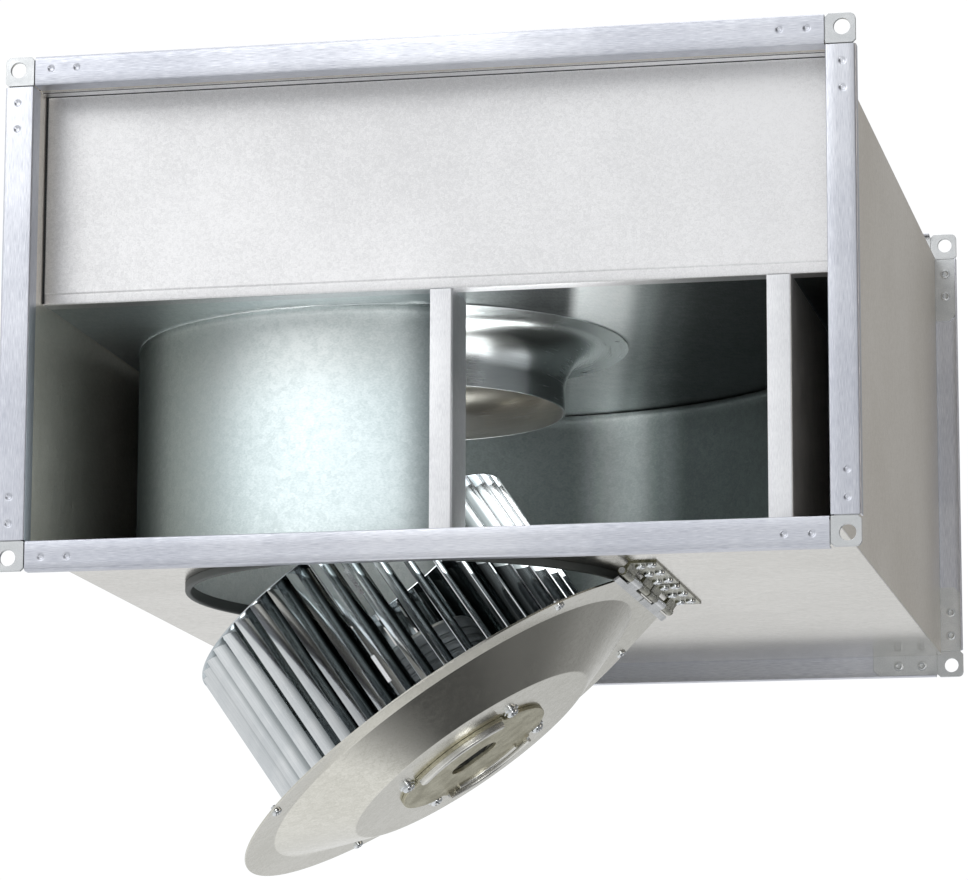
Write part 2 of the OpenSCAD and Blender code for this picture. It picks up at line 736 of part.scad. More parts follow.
// Cast flange on the door's inside with the tube that carries stator and bearings.
module motor_flange() {
    color("#b3b5b4") swung() on_axis() difference() {
        union() {
            translate([0, 0, dish_top]) cylinder(r = seat_r, h = seat_t);
            translate([0, 0, flange_low]) cylinder(r = spigot_r, h = seat_t + door_t);
            translate([0, 0, flange_low]) cylinder(r = tube_r, h = tube_top - flange_low);
        }
        translate([0, 0, flange_low - 1]) cylinder(r = shaft_r + 2, h = tube_top - flange_low + 2);
        translate([0, 0, flange_low - 1])
            cylinder(r = bearing_r, h = bearing_z0 + bearing_w - flange_low + 1);
        translate([0, 0, bearing_z1]) cylinder(r = bearing_r, h = bearing_w + 1);
        translate([0, 0, dish_top - 1]) around([45:90:315], motor_screw_r)
            cylinder(r = 3 + loose, h = seat_t + 2, $fn = 32);
    }
}

module stator_core() {
    color("#6c6f72") swung() on_axis(core_low) difference() {
        cylinder(r = core_r, h = core_h);
        translate([0, 0, -1]) cylinder(r = tube_r, h = core_h + 2);
        around([0:30:330], core_r) translate([0, 0, -1]) cylinder(r = 2, h = core_h + 2, $fn = 16);
    }
}

module stator_windings() {
    color("#a5683a") swung() on_axis() for (z = [core_low - 6.1, core_low + core_h + 0.1])
        translate([0, 0, z]) ring(core_r - 4, tube_r + 4, 6);
}

module bearing() {
    color("#c4c6c8") ring(bearing_r, shaft_r + fit, bearing_w);
}
module bearing_lower() { swung() on_axis(bearing_z0) bearing(); }
module bearing_upper() { swung() on_axis(bearing_z1) bearing(); }

module shaft() {
    color("#d0d2d4") swung() on_axis(bearing_z0 - 2)
        cylinder(r = shaft_r, h = rotor_top - 3 - bearing_z0 + 2);
}

module rotor_shell() {
    color("#8d9092") swung() on_axis() difference() {
        union() {
            translate([0, 0, rotor_low]) cylinder(r = rotor_r, h = rotor_h);
            translate([0, 0, back_top]) cylinder(r = hub_flange_r, h = 3);
        }
        difference() {
            translate([0, 0, rotor_low - 1]) cylinder(r = rotor_in, h = rotor_h - 4 + 1);
            translate([0, 0, tube_top + 1]) cylinder(r = bearing_r, h = 20);
        }
        translate([0, 0, rotor_low - 1]) cylinder(r = shaft_r, h = rotor_h - 3 + 1);
        translate([0, 0, back_top - 1]) around([0:60:300], hub_rivet_r) cylinder(r = 2.5, h = 5, $fn = 24);
    }
}

module rotor_cage() {
    color("#9a8f7e") swung() on_axis(rotor_low + 1) ring(rotor_in, rotor_in - cage_t, core_h + 8);
}

// ---- impeller -------------------------------------------------------------------------------

module impeller_back_plate() {
    color("#b9bfc2") swung() on_axis(back_low) difference() {
        ring(wheel_r, rotor_r, wheel_t);
        translate([0, 0, -1]) around([0:60:300], hub_rivet_r) cylinder(r = 2.5, h = wheel_t + 2, $fn = 24);
    }
}

// Forward-curved blades: each leaves the eye along the radius and is bent on one radius towards
// the way the wheel turns, clockwise from above.
function blade_point(u, r) = [eye_r + r * sin(u * blade_turn), r * cos(u * blade_turn) - blade_bend];

module impeller_blades() {
    outline = concat([for (k = [0:8]) blade_point(k / 8, blade_bend + blade_t / 2)],
                     [for (k = [8:-1:0]) blade_point(k / 8, blade_bend - blade_t / 2)]);
    color("#aeb8bd") swung() on_axis(blade_low) for (k = [0:blade_count - 1])
        rotate([0, 0, (k + 0.5) * 360 / blade_count])
            linear_extrude(blade_high - blade_low) polygon(outline);
}

module impeller_inlet_ring() {
    color("#c6ccd0") swung() on_axis(blade_high) ring(wheel_r, eye_r, wheel_t);
}

module hub_rivets() {
    color("#cfd1d2") swung() on_axis() around([0:60:300], hub_rivet_r) {
        translate([0, 0, back_low]) cylinder(r = 2.5, h = wheel_t + 3, $fn = 24);
        translate([0, 0, back_top + 3]) cylinder(r = 4, h = 1.5, $fn = 24);
        translate([0, 0, back_low - 1.2]) cylinder(r = 4, h = 1.2, $fn = 24);
    }
}

// Small weights pressed over the outer edges of two blades.
module balance_clips() {
    tip = blade_point(1, blade_bend);
    lead = atan2(tip[1], tip[0]);
    for (c = [[33.5, blade_low + 20], [34.5, blade_high - clip_len - 24]])
        color("#d4d8da") swung() on_axis(c[1]) rotate([0, 0, c[0] * 360 / blade_count + lead])
            translate([wheel_r, -1.5, 0]) cube([1, 3, clip_len]);
}

casing_wrap();
bottom_plate();
front_flange_top();
front_flange_bottom();
front_flange_left();
front_flange_right();
front_corner_plates();
rear_flange_top();
rear_flange_bottom();
rear_flange_left();
rear_flange_right();
rear_corner_plates();
front_panel();
divider_plate();
rear_panel();
inlet_cone();
cone_rivets();
scroll_wall();
tongue_post();
outlet_wall();
access_seal();
door_nuts();
casing_leaf_front();
casing_leaf_rear();
door_leaf_front();
door_leaf_rear();
hinge_pin_front();
hinge_pin_rear();
hinge_screws();
terminal_box();
terminal_lid();
terminal_lid_screws();
terminal_block();
cable_gland();
door_plate();
door_screws();
motor_plate();
motor_screws();
motor_nuts();
motor_flange();
stator_core();
stator_windings();
bearing_lower();
bearing_upper();
shaft();
rotor_shell();
rotor_cage();
impeller_back_plate();
impeller_blades();
impeller_inlet_ring();
hub_rivets();
balance_clips();
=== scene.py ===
import json
import math

import bpy
import numpy as np
from mathutils import Matrix, Vector


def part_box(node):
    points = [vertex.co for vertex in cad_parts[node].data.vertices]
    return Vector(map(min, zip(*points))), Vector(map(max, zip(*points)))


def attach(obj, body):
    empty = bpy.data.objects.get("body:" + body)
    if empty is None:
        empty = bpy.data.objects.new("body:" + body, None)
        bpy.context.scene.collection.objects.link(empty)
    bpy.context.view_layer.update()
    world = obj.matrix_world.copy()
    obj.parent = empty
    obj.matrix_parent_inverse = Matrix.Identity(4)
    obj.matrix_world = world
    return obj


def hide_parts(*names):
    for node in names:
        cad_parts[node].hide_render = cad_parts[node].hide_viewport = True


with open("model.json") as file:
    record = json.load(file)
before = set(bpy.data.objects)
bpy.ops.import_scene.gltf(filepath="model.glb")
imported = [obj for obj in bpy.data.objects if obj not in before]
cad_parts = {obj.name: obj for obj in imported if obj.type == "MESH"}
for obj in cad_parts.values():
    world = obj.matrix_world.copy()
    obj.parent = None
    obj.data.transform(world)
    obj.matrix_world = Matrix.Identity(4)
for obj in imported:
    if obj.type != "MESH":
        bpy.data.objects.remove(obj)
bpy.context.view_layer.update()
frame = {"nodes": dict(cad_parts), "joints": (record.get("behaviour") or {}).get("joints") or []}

# ---- Studio ------------
# The fan hangs in the air on its outlet flange and is looked at from below and from its right.
# The room is white to the camera; what bare zinc mirrors of it is bright in front and above and
# darker at the sides. Large soft lights stand outside and three small ones shine inside the casing.

MM = 0.001


def linear(code):
    """Linear RGBA from an sRGB hex value: c / 12.92 up to 0.04045, else ((c + 0.055) / 1.055) ^ 2.4."""
    parts = np.array([int(code[i:i + 2], 16) for i in (1, 3, 5)]) / 255
    parts = np.where(parts <= 0.04045, parts / 12.92, ((parts + 0.055) / 1.055) ** 2.4)
    return (*parts.tolist(), 1.0)


def node(tree, kind, inputs=None, **settings):
    """Adds one node, sets its properties, and gives each named input a value or a link."""
    made = tree.nodes.new(kind)
    for key, value in settings.items():
        setattr(made, key, value)
    for key, value in (inputs or {}).items():
        if isinstance(value, bpy.types.NodeSocket):
            tree.links.new(value, made.inputs[key])
        else:
            made.inputs[key].default_value = value
    return made


def remap(tree, value, low, high, to_low=0.0, to_high=1.0):
    """The value carried in proportion from low..high to to_low..to_high and held within them."""
    return node(tree, "ShaderNodeMapRange", {"Value": value, "From Min": low, "From Max": high,
                                             "To Min": to_low, "To Max": to_high}).outputs[0]


def maths(tree, operation, *values):
    """One step of arithmetic on numbers or links."""
    return node(tree, "ShaderNodeMath", dict(enumerate(values)), operation=operation).outputs[0]


def blend(tree, share, first, second):
    """The first value where the share is 0 and the second where it is 1."""
    return node(tree, "ShaderNodeMix", {0: share, 2: first, 3: second}, data_type="FLOAT").outputs[0]


def ramp(tree, value, stops, interpolation="LINEAR", cool=0.0):
    """Brightness run through a list of (position, share); cool takes red from the darker shares."""
    made = node(tree, "ShaderNodeValToRGB", {0: value})
    made.color_ramp.interpolation = interpolation
    marks = made.color_ramp.elements
    marks[0].position, marks[1].position = stops[0][0], stops[-1][0]
    for at, _ in stops[1:-1]:
        marks.new(at)
    for mark, (_, share) in zip(marks, stops):
        mark.color = (share * (1 - cool + cool * share), share, share, 1)
    return made.outputs[0]


def add_camera():
    """Camera of the set view: placed in millimetres, turned about Z, tilted up, then rolled."""
    place = np.array([691.9, -3062.9, -699.2]) * MM
    turn, tilt, roll = map(math.radians, (11.883, 10.668, 0.192))
    data = bpy.data.cameras.new("camera")
    data.sensor_width = 36
    data.lens = 164.3
    data.clip_start = 0.05
    data.clip_end = 50
    camera = bpy.data.objects.new("camera", data)
    upright = Matrix.Rotation(math.pi / 2, 4, "X")
    camera.matrix_world = (Matrix.Translation(place) @ Matrix.Rotation(turn, 4, "Z")
                           @ Matrix.Rotation(tilt, 4, "X") @ upright @ Matrix.Rotation(roll, 4, "Z"))
    bpy.context.scene.collection.objects.link(camera)
    bpy.context.scene.camera = camera


def add_light(name, place, target, size, watts, colour="#FFFFFF"):
    """A rectangular soft light aimed from place to target."""
    data = bpy.data.lights.new(name, "AREA")
    data.shape = "RECTANGLE"
    data.size, data.size_y = size
    data.energy = watts
    data.color = linear(colour)[:3]
    lamp = bpy.data.objects.new(name, data)
    lamp.rotation_mode = "QUATERNION"
    lamp.rotation_quaternion = (Vector(target) - Vector(place)).to_track_quat("-Z", "Y")
    lamp.location = place
    lamp.visible_camera = False
    bpy.context.scene.collection.objects.link(lamp)


def add_room():
    """World light by direction: in front it grows with height and dims to the right; behind, it
    falls from the left to the right; below, a dark stretch lies to the right of the fan."""
    world = bpy.data.worlds.new("room")
    world.use_nodes = True
    tree = world.node_tree
    tree.nodes.clear()
    way = node(tree, "ShaderNodeTexCoord").outputs["Generated"]
    axes = node(tree, "ShaderNodeSeparateXYZ", {0: way})
    right = remap(tree, axes.outputs["X"], -0.6, 0.8, 1.9, 0.15)
    glow = remap(tree, axes.outputs["Z"], -0.5, 0.9, 0.32, 0.8)
    front = maths(tree, "MULTIPLY", right, glow)
    rear = remap(tree, axes.outputs["X"], -0.14, 0.34, 0.9, 0.33)
    level = blend(tree, remap(tree, axes.outputs["Y"], 0.2, 0.6), front, rear)
    floor = ramp(tree, axes.outputs["X"],
                 [(0.17, 1), (0.30, 0.34), (0.40, 0.07), (0.52, 0.08), (0.70, 0.5)])
    level = blend(tree, remap(tree, axes.outputs["Z"], -0.30, -0.48), level, floor)
    seen = node(tree, "ShaderNodeLightPath").outputs["Is Camera Ray"]
    back = node(tree, "ShaderNodeBackground", {"Color": linear("#F7F8F9"),
                                               "Strength": blend(tree, seen, level, 1.1)})
    node(tree, "ShaderNodeOutputWorld", {"Surface": back.outputs[0]})
    bpy.context.scene.world = world


bpy.context.scene.view_settings.view_transform = "Standard"
add_camera()
add_room()
add_light("front light", (-1.6, -3.4, 1.9), (0.0, 0.1, 0.0), (2.6, 1.8), 27)
add_light("low front light", (1.5, -3.2, -0.9), (0.0, 0.2, -0.2), (1.6, 0.8), 20)
add_light("top light", (0.2, 0.4, 3.2), (0.0, 0.3, 0.0), (3.0, 2.4), 24)
add_light("right light", (3.2, 0.2, 0.2), (0.3, 0.3, 0.0), (1.2, 2.2), 14, "#FFF4E6")
add_light("light through the access hole", (-0.05, 0.24, -0.171), (-0.05, 0.24, 0.0), (0.26, 0.24),
          0.9)
add_light("light by the cone", (0.12, 0.09, -0.1), (-0.02, 0.24, -0.03), (0.1, 0.12), 0.06)
add_light("light in the left chamber", (-0.15, 0.044, -0.1), (-0.15, 0.3, -0.1), (0.28, 0.13), 0.062,
          "#DCF1FB")

# ---- Casing sheet ------------
# One galvanised steel sheet, 1.2 mm, folded down on both sides over the bottom sheet. Hot-dip zinc
# gives a pale grey, cloudy surface with faint crystals and fine rolling grain along the duct.



def in_mm(box):
    """Lowest and highest corner of a box, in millimetres."""
    return [np.array(corner) / MM for corner in box]


sheet_t = 1.2
wrap_low, wrap_high = in_mm(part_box("casing_wrap"))
half_w = wrap_high[0] - sheet_t
half_h = wrap_high[2] - sheet_t
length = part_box("rear_flange_top")[1].y / MM


def rounded(points, radii, steps=6, closed=False):
    """Polyline with its corners rounded: an arc of the given radius from tangent point to tangent
    point, which lie radius / tan(half the corner's angle) from the corner."""
    points = np.asarray(points, float)
    n = len(points)
    out = []
    for i, radius in enumerate(radii):
        here = points[i]
        ends = closed or 0 < i < n - 1
        if radius <= 0 or not ends:
            out.append(here[None])
            continue
        a = points[i - 1] - here
        b = points[(i + 1) % n] - here
        a, b = a / np.linalg.norm(a), b / np.linalg.norm(b)
        half = math.acos(np.clip(a @ b, -1, 1)) / 2
        reach = radius / math.tan(half)
        centre = here + (a + b) / np.linalg.norm(a + b) * radius / math.sin(half)
        start, stop = here + a * reach - centre, here + b * reach - centre
        span = math.pi - 2 * half
        t = np.linspace(0, 1, steps)[:, None]
        out.append(centre + (np.sin((1 - t) * span) * start + np.sin(t * span) * stop) / math.sin(span))
    return np.concatenate(out)


def ribbon(path, thickness):
    """Closed outline of a strip: the path moved half the thickness to each side along the mean
    normal of its two neighbouring stretches, lengthened at corners by 1 / cos(half turn)."""
    path = np.asarray(path, float)
    step = np.diff(path, axis=0)
    step /= np.linalg.norm(step, axis=1)[:, None]
    before, after = np.vstack([step[:1], step]), np.vstack([step, step[-1:]])
    along = before + after
    along /= np.linalg.norm(along, axis=1)[:, None]
    normal = np.stack([-along[:, 1], along[:, 0]], -1)
    normal /= np.sum(along * after, axis=1)[:, None]
    return np.concatenate([path + normal * thickness / 2, (path - normal * thickness / 2)[::-1]])


def grid(points, kind="bar"):
    """Vertices, faces and UVs of a closed grid of points (rows u, columns v). The columns of a bar
    join round and its first and last row are closed by a face; a head is the same with rows and
    columns exchanged; a ring joins round both ways. UV is the running length in metres. Faces are
    turned so that the enclosed volume is positive."""
    wrap_u, wrap_v = kind != "bar", kind != "head"
    p = np.asarray(points, float) * MM
    n, m = p.shape[:2]
    i, j = np.meshgrid(np.arange(n if wrap_u else n - 1), np.arange(m if wrap_v else m - 1),
                       indexing="ij")
    i, j = i.ravel(), j.ravel()
    k, l = (i + 1) % n, (j + 1) % m
    quads = np.stack([i * m + j, k * m + j, k * m + l, i * m + l], -1)
    step_u = np.linalg.norm(np.roll(p, -1, 0) - p, axis=2).mean(1)
    step_v = np.linalg.norm(np.roll(p, -1, 1) - p, axis=2).max(0)
    run_u, run_v = np.append(0, np.cumsum(step_u)), np.append(0, np.cumsum(step_v))
    uv = np.stack([np.stack([run_u[i], run_v[j]], -1), np.stack([run_u[i + 1], run_v[j]], -1),
                   np.stack([run_u[i + 1], run_v[j + 1]], -1),
                   np.stack([run_u[i], run_v[j + 1]], -1)], 1)
    faces, uvs = [quads.tolist()], [uv.reshape(-1, 2)]
    ends = []
    if kind == "bar":
        ends = [np.arange(m), np.arange((n - 1) * m, n * m)[::-1]]
    elif kind == "head":
        ends = [np.arange(n)[::-1] * m, np.arange(n) * m + m - 1]
    p = p.reshape(-1, 3)
    if ends:
        faces.append([end.tolist() for end in ends])
        flat = np.ptp(p[ends[0]], axis=0).argsort()[1:]
        uvs.append(np.concatenate([p[end][:, flat] for end in ends]))
    corner = p[quads]
    volume = np.einsum("ij,ij->", corner[:, 0], np.cross(corner[:, 1], corner[:, 2]))
    volume += np.einsum("ij,ij->", corner[:, 0], np.cross(corner[:, 2], corner[:, 3]))
    for end in ends:
        volume += np.einsum("ij,j->", np.cross(p[end[1:-1]], p[end[2:]]), p[end[0]])
    faces = [face for group in faces for face in group]
    uvs = np.concatenate(uvs)
    if volume < 0:
        counts = np.cumsum([0] + [len(face) for face in faces])
        order = np.concatenate([np.arange(a, b)[::-1] for a, b in zip(counts[:-1], counts[1:])])
        faces, uvs = [face[::-1] for face in faces], uvs[order]
    return p, faces, uvs


def joined(parts):
    """Several (vertices, faces, UVs) as one, with each part's vertex numbers moved on."""
    start, vertices, faces, uvs = 0, [], [], []
    for p, f, uv in parts:
        vertices.append(p)
        faces += [[v + start for v in face] for face in f]
        uvs.append(uv)
        start += len(p)
    return np.concatenate(vertices), faces, np.concatenate(uvs)


def piece(name, part, material, body, hides=(), edge=0.0, angle=38):
    """Makes the mesh, smooths it except at edges sharper than the angle, rounds those by edge in
    millimetres, ties it to its body and hides the CAD nodes that it stands for."""
    vertices, faces, uvs = part
    mesh = bpy.data.meshes.new(name)
    mesh.from_pydata(vertices.tolist(), [], faces)
    layer = mesh.uv_layers.new(name="size")
    layer.data.foreach_set("uv", uvs.astype(np.float32).ravel())
    mesh.shade_smooth()
    mesh.set_sharp_from_angle(angle=math.radians(angle))
    mesh.materials.append(material)
    made = bpy.data.objects.new(name, mesh)
    bpy.context.scene.collection.objects.link(made)
    if edge:
        bevel = made.modifiers.new("rounded edges", "BEVEL")
        bevel.width = edge * MM
        bevel.segments = 2
        bevel.limit_method = "ANGLE"
        bevel.angle_limit = math.radians(angle)
        bevel.harden_normals = True
    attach(made, body)
    if hides:
        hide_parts(*hides)
    return made


def new_material(name, source):
    """A material with its tree, its shader and the coordinates that its textures read."""
    made = bpy.data.materials.new(name)
    made.use_nodes = True
    tree = made.node_tree
    where = node(tree, "ShaderNodeTexCoord").outputs[source]
    return made, tree, tree.nodes["Principled BSDF"], where


def noise(tree, where, scale, detail, roughness=0.5):
    """Fractal noise between 0 and 1."""
    return node(tree, "ShaderNodeTexNoise", {"Vector": where, "Scale": scale, "Detail": detail,
                                             "Roughness": roughness}).outputs["Fac"]


def two_tones(tree, share, light, dark):
    """The dark colour where the share is 0 and the light one where it is 1."""
    return node(tree, "ShaderNodeMixRGB", {0: share, 1: linear(dark), 2: linear(light)}).outputs[0]


def dress(tree, shader, tint, rough, grains, bump, strength=0.5):
    """Links colour and roughness to the shader and raises the grains by the bump in mm."""
    raised = node(tree, "ShaderNodeBump", {"Height": grains, "Distance": bump * MM,
                                           "Strength": strength}).outputs[0]
    for socket, value in (("Base Color", tint), ("Roughness", rough), ("Normal", raised)):
        tree.links.new(value, shader.inputs[socket])


def metal(name, light, dark, rough, grain, source="UV", cloud=60, crystal=0.0, bump=0.02,
          strength=0.5, painted_bands=None):
    """Bare metal: two tones mixed by clouds (size in mm), crystals (size in mm, 0 for none) and
    grain (length along, across and through in mm); grain and clouds also move the roughness
    between its two values, and the grain stands up by the bump in mm. Painted bands paint light and
    shade into the colour: a direction and a list of (distance along it in mm, share of light kept),
    eased from one to the next."""
    made, tree, shader, where = new_material(name, source)
    fine = node(tree, "ShaderNodeMapping", {"Vector": where,
                                            "Scale": [1 / (size * MM) for size in grain]}).outputs[0]
    grains = noise(tree, fine, 1.0, 3.0, 0.6)
    clouds = noise(tree, where, 1 / (cloud * MM), 4.0, 0.55)
    mixed = maths(tree, "SUBTRACT", maths(tree, "ADD", clouds, grains), 0.5)
    if crystal:
        cells = node(tree, "ShaderNodeTexVoronoi", {"Vector": where, "Scale": 1 / (crystal * MM)})
        level = node(tree, "ShaderNodeSeparateColor", {0: cells.outputs["Color"]}).outputs[0]
        mixed = maths(tree, "ADD", mixed, maths(tree, "MULTIPLY_ADD", level, 0.22, -0.11))
    tint = two_tones(tree, remap(tree, mixed, 0.28, 0.72), light, dark)
    # Painted light and shade: the bands' shares are multiplied into the colour.
    if painted_bands:
        way, stops = painted_bands
        first, last = stops[0][0], stops[-1][0]
        along = node(tree, "ShaderNodeVectorMath", {0: where, 1: way}, operation="DOT_PRODUCT")
        place = remap(tree, along.outputs["Value"], first * MM, last * MM)
        painted_share = ramp(tree, place, [((at - first) / (last - first), share) for at, share in stops],
                    "EASE", cool=0.1)
        tint = node(tree, "ShaderNodeMixRGB", {0: 1.0, 1: tint, 2: painted_share},
                    blend_type="MULTIPLY").outputs[0]
    spread = remap(tree, mixed, 0.28, 0.72, rough[1], rough[0])
    dress(tree, shader, tint, spread, grains, bump, strength)
    shader.inputs["Metallic"].default_value = 1.0
    return made


def carried(outline, axis, *places):
    """A plane outline set at each of the places along the axis (0, 1 or 2), in mm."""
    return np.stack([np.insert(outline, axis, place, axis=1) for place in places])


# Warm pale grey with a soft sheen, faint crystals and clouds a hand wide.
galvanised = metal("hot-dip galvanised steel sheet", "#F0EAE0", "#E4DED4", (0.34, 0.46),
                   (9.0, 0.5, 0.5), crystal=3, cloud=260, bump=0.008)
# The same sheet where nothing has strained it: smoother, so it mirrors the room more.
galvanised_flat = metal("hot-dip galvanised steel sheet, flat", "#D2CFC8", "#C4C1BA", (0.15, 0.24),
                        (9.0, 0.5, 0.5), source="Object", crystal=3, cloud=260, bump=0.008)

u_path = rounded([(-half_w - sheet_t / 2, -half_h), (-half_w - sheet_t / 2, half_h + sheet_t / 2),
                  (half_w + sheet_t / 2, half_h + sheet_t / 2), (half_w + sheet_t / 2, -half_h)],
                 [0, 1.8, 1.8, 0])
piece("casing_sheet", grid(carried(ribbon(u_path, sheet_t), 1, wrap_low[1], wrap_high[1])),
      galvanised, "casing", ["casing_wrap"], edge=0.2)


def coat(names, material):
    """Gives CAD nodes their finish."""
    for name in names:
        slots = frame["nodes"][name].data.materials
        slots.clear()
        slots.append(material)


coat(["bottom_plate", "rear_panel"], galvanised_flat)

# ---- Slide-on flange bars ------------
# Roll-formed galvanised channel pushed over the duct sheet's edge: a hemmed lip inside the duct, a
# flat face and an outer return. Press joints hold the corner plates and leave round pits.

flange_t = 1.2
flange_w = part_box("front_flange_top")[1].z / MM - half_h
lip_w = half_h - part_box("front_flange_top")[0].z / MM
lip_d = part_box("front_flange_top")[1].y / MM
return_d = 10
bolt_edge = 10
joint_at = (25.5, 45.5)
pit_r = 2.9
pit_depth = 0.9

# The rolls leave long fine lines and a bluish, uneven sheen along each bar.
profile_steel = metal("roll-formed zinc profile", "#DDDFE5", "#B4B7C1", (0.3, 0.44), (9.0, 0.5, 0.5),
                      cloud=200, bump=0.03, strength=0.9)


def bar_section():
    """Closed (depth, outward) outline of the channel, its folds rounded, with fine steps across
    the face where the pits are."""
    fine = np.arange(flange_w - bolt_edge - 4, flange_w - bolt_edge + 4.01, 0.5)
    points = [(lip_d, -lip_w), (0, -lip_w)] + [(0, w) for w in fine] + [(0, flange_w)]
    radii = [1.1, 1.3] + [0] * len(fine) + [1.9]
    points += [(return_d, flange_w), (return_d, flange_w - flange_t), (flange_t, flange_w - flange_t)]
    radii += [0.3, 0.3, 0.8]
    points += [(flange_t, w) for w in fine[::-1]] + [(flange_t, 0), (lip_d, 0)]
    radii += [0] * len(fine) + [0.5, 1.1]
    return rounded(points, radii, closed=True)


def bar(half_length):
    """Channel along a: the section carried from end to end, pushed back by the pit's depth times
    half of 1 + cos(pi t), where t runs from 0 at 0.45 of the pit's radius to 1 at its rim."""
    corner = half_length + 0.6 + lip_w + flange_w - bolt_edge
    pits = [s * (corner - d) for s in (-1, 1) for d in joint_at]
    near = np.concatenate([p + np.arange(-4, 4.01, 0.5) for p in pits])
    a = np.unique(np.concatenate([[-half_length, half_length], near]))
    section = bar_section()
    y, w = section[:, 0], section[:, 1]
    depth = np.broadcast_to(y, (len(a), len(y))).copy()
    face = (y < flange_t + 0.01) & (w > 1) & (w < flange_w - 2)
    for pit in pits:
        far = np.hypot(a[:, None] - pit, w[None] - (flange_w - bolt_edge))
        t = np.clip((far / pit_r - 0.45) / 0.55, 0, 1)
        depth += np.where(face[None], pit_depth * (1 + np.cos(np.pi * t)) / 2, 0)
    return np.broadcast_to(a[:, None], depth.shape), depth, np.broadcast_to(w, depth.shape)


for end in ("front", "rear"):
    for side in ("top", "bottom", "left", "right"):
        upright = side in ("left", "right")
        half_length = (half_h if upright else half_w) - lip_w - 0.6
        a, y, w = bar(half_length)
        if end == "rear":
            y = length - y
        way = 1 if side in ("top", "right") else -1
        out = way * ((half_w if upright else half_h) + w)
        points = np.stack([out, y, a] if upright else [a, y, out], -1)
        name = f"{end}_flange_{side}"
        piece(f"{name}_channel", grid(points), profile_steel, "casing",
              [name], edge=0.12, angle=50)

# ---- Corner plates ------------
# Pressed zinc-plated steel: a square with the bolt hole, level with the bars' faces, and two legs
# that lie behind the faces and are fixed there by the press joints. Paler and smoother than the bars.

hole_r = 6.0
back = 3.2
leg_reach = 57.5
corner_steel = metal("pressed zinc-plated steel", "#D3D5D6", "#BDC0C2", (0.32, 0.44), (0.9, 0.9, 0.9),
                     cloud=20, bump=0.015)


def dense(outline, spacing):
    """The closed outline with points added so that no stretch is longer than the spacing."""
    out = []
    for here, after in zip(outline, np.roll(outline, -1, 0)):
        parts = max(1, int(np.ceil(np.linalg.norm(after - here) / spacing)))
        out.append(here + (after - here) * np.arange(parts)[:, None] / parts)
    return np.concatenate(out)


def plate_with_hole(outline, hole, y0, y1):
    """Closed plate between a hole and an outline: each outline point is joined to the hole's point
    in the same direction from the hole's centre, on the front, the outer wall, the back and the
    hole's wall in turn. Points are (x, z) about the hole's centre."""
    rim = hole(np.arctan2(outline[:, 1], outline[:, 0]))
    middle = (rim + outline) / 2
    rows = [(rim, y0), (middle, y0), (outline, y0), (outline, y1), (middle, y1), (rim, y1)]
    return np.stack([np.column_stack([p[:, 0], np.full(len(p), y), p[:, 1]]) for p, y in rows], 1)


def bolt_hole(turn):
    """Points of the bolt hole's circle in the given directions."""
    return hole_r * np.stack([np.cos(turn), np.sin(turn)], -1)


def corner_parts():
    """Square, two legs and four ring-shaped joint marks of the +X +Z outlet corner, in mm."""
    lo, hi = -lip_w + 0.2 - bolt_edge, flange_w - bolt_edge
    cut = 2.5
    square = rounded([(lo, lo), (hi - cut, lo), (hi, lo + cut), (hi, hi), (lo + cut, hi),
                      (lo, hi - cut)],
                     [0.6, 0.6, 0.6, 4.5, 0.6, 0.6], closed=True)
    parts = [plate_with_hole(dense(square, 0.9), bolt_hole, 0.0, back)]
    parts[0] = parts[0] + np.array([half_w + flange_w - bolt_edge, 0, half_h + flange_w - bolt_edge])
    leg_end = leg_reach - bolt_edge + flange_w - bolt_edge
    low, high = 0.4, flange_w - flange_t - 0.4
    leg = rounded([(-leg_end, low), (-lip_w, low), (-lip_w, high), (5 - leg_end, high),
                   (-leg_end, high - 5)], [0.8, 0, 0, 1.5, 1.5], closed=True)
    turn = np.linspace(0, 2 * np.pi, 32, endpoint=False)
    mark = rounded([(4.0, back - 0.2), (4.0, back + 0.9), (2.6, back + 1.1), (1.9, back + 0.3),
                    (0.02, back + 0.2)], [0, 0.4, 0.4, 0.3, 0])
    for upright in (False, True):
        base = half_w if upright else half_h
        other = half_h if upright else half_w
        sheet = carried(leg + [other, base], 1, flange_t, back)
        parts.append(sheet[..., [2, 1, 0]] if upright else sheet)
        for d in joint_at:
            across, up = other + flange_w - bolt_edge - d, base + flange_w - bolt_edge
            ring = np.stack([np.stack([mark[:, 0] * np.cos(t) + across, mark[:, 1],
                                       mark[:, 0] * np.sin(t) + up], -1) for t in turn])
            parts.append(ring[..., [2, 1, 0]] if upright else ring)
    return parts


def corner_set(rear):
    """The corner mirrored to all four corners, and to the inlet end if rear."""
    kinds = ["ring"] + ["bar", "head", "head"] * 2
    parts = []
    for mx, mz in ((1, 1), (1, -1), (-1, 1), (-1, -1)):
        for points, kind in zip(corner_parts(), kinds):
            p = points * np.array([mx, 1, mz])
            if rear:
                p[..., 1] = length - p[..., 1]
            parts.append(grid(p, kind))
    return joined(parts)


for end in ("front", "rear"):
    piece(f"{end}_corners", corner_set(end == "rear"), corner_steel, "casing",
          [f"{end}_corner_plates"], edge=0.3)

# ---- Front panel ------------
# Galvanised sheet across the outlet's upper part: folded forward along the top, and with a shallow
# step and a backward fold along the lower edge, where it is riveted to the divider.

panel_low, panel_high = in_mm(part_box("front_panel"))
fold_back = 15.2
panel_y = panel_high[1] - fold_back
# Even and light with fine crystals, and matt enough to show no clear reflection.
panel_steel = metal("galvanised steel panel", "#EBEBEC", "#DADADB", (0.36, 0.5), (1.0, 1.0, 1.0),
                    crystal=2, cloud=240, bump=0.008)

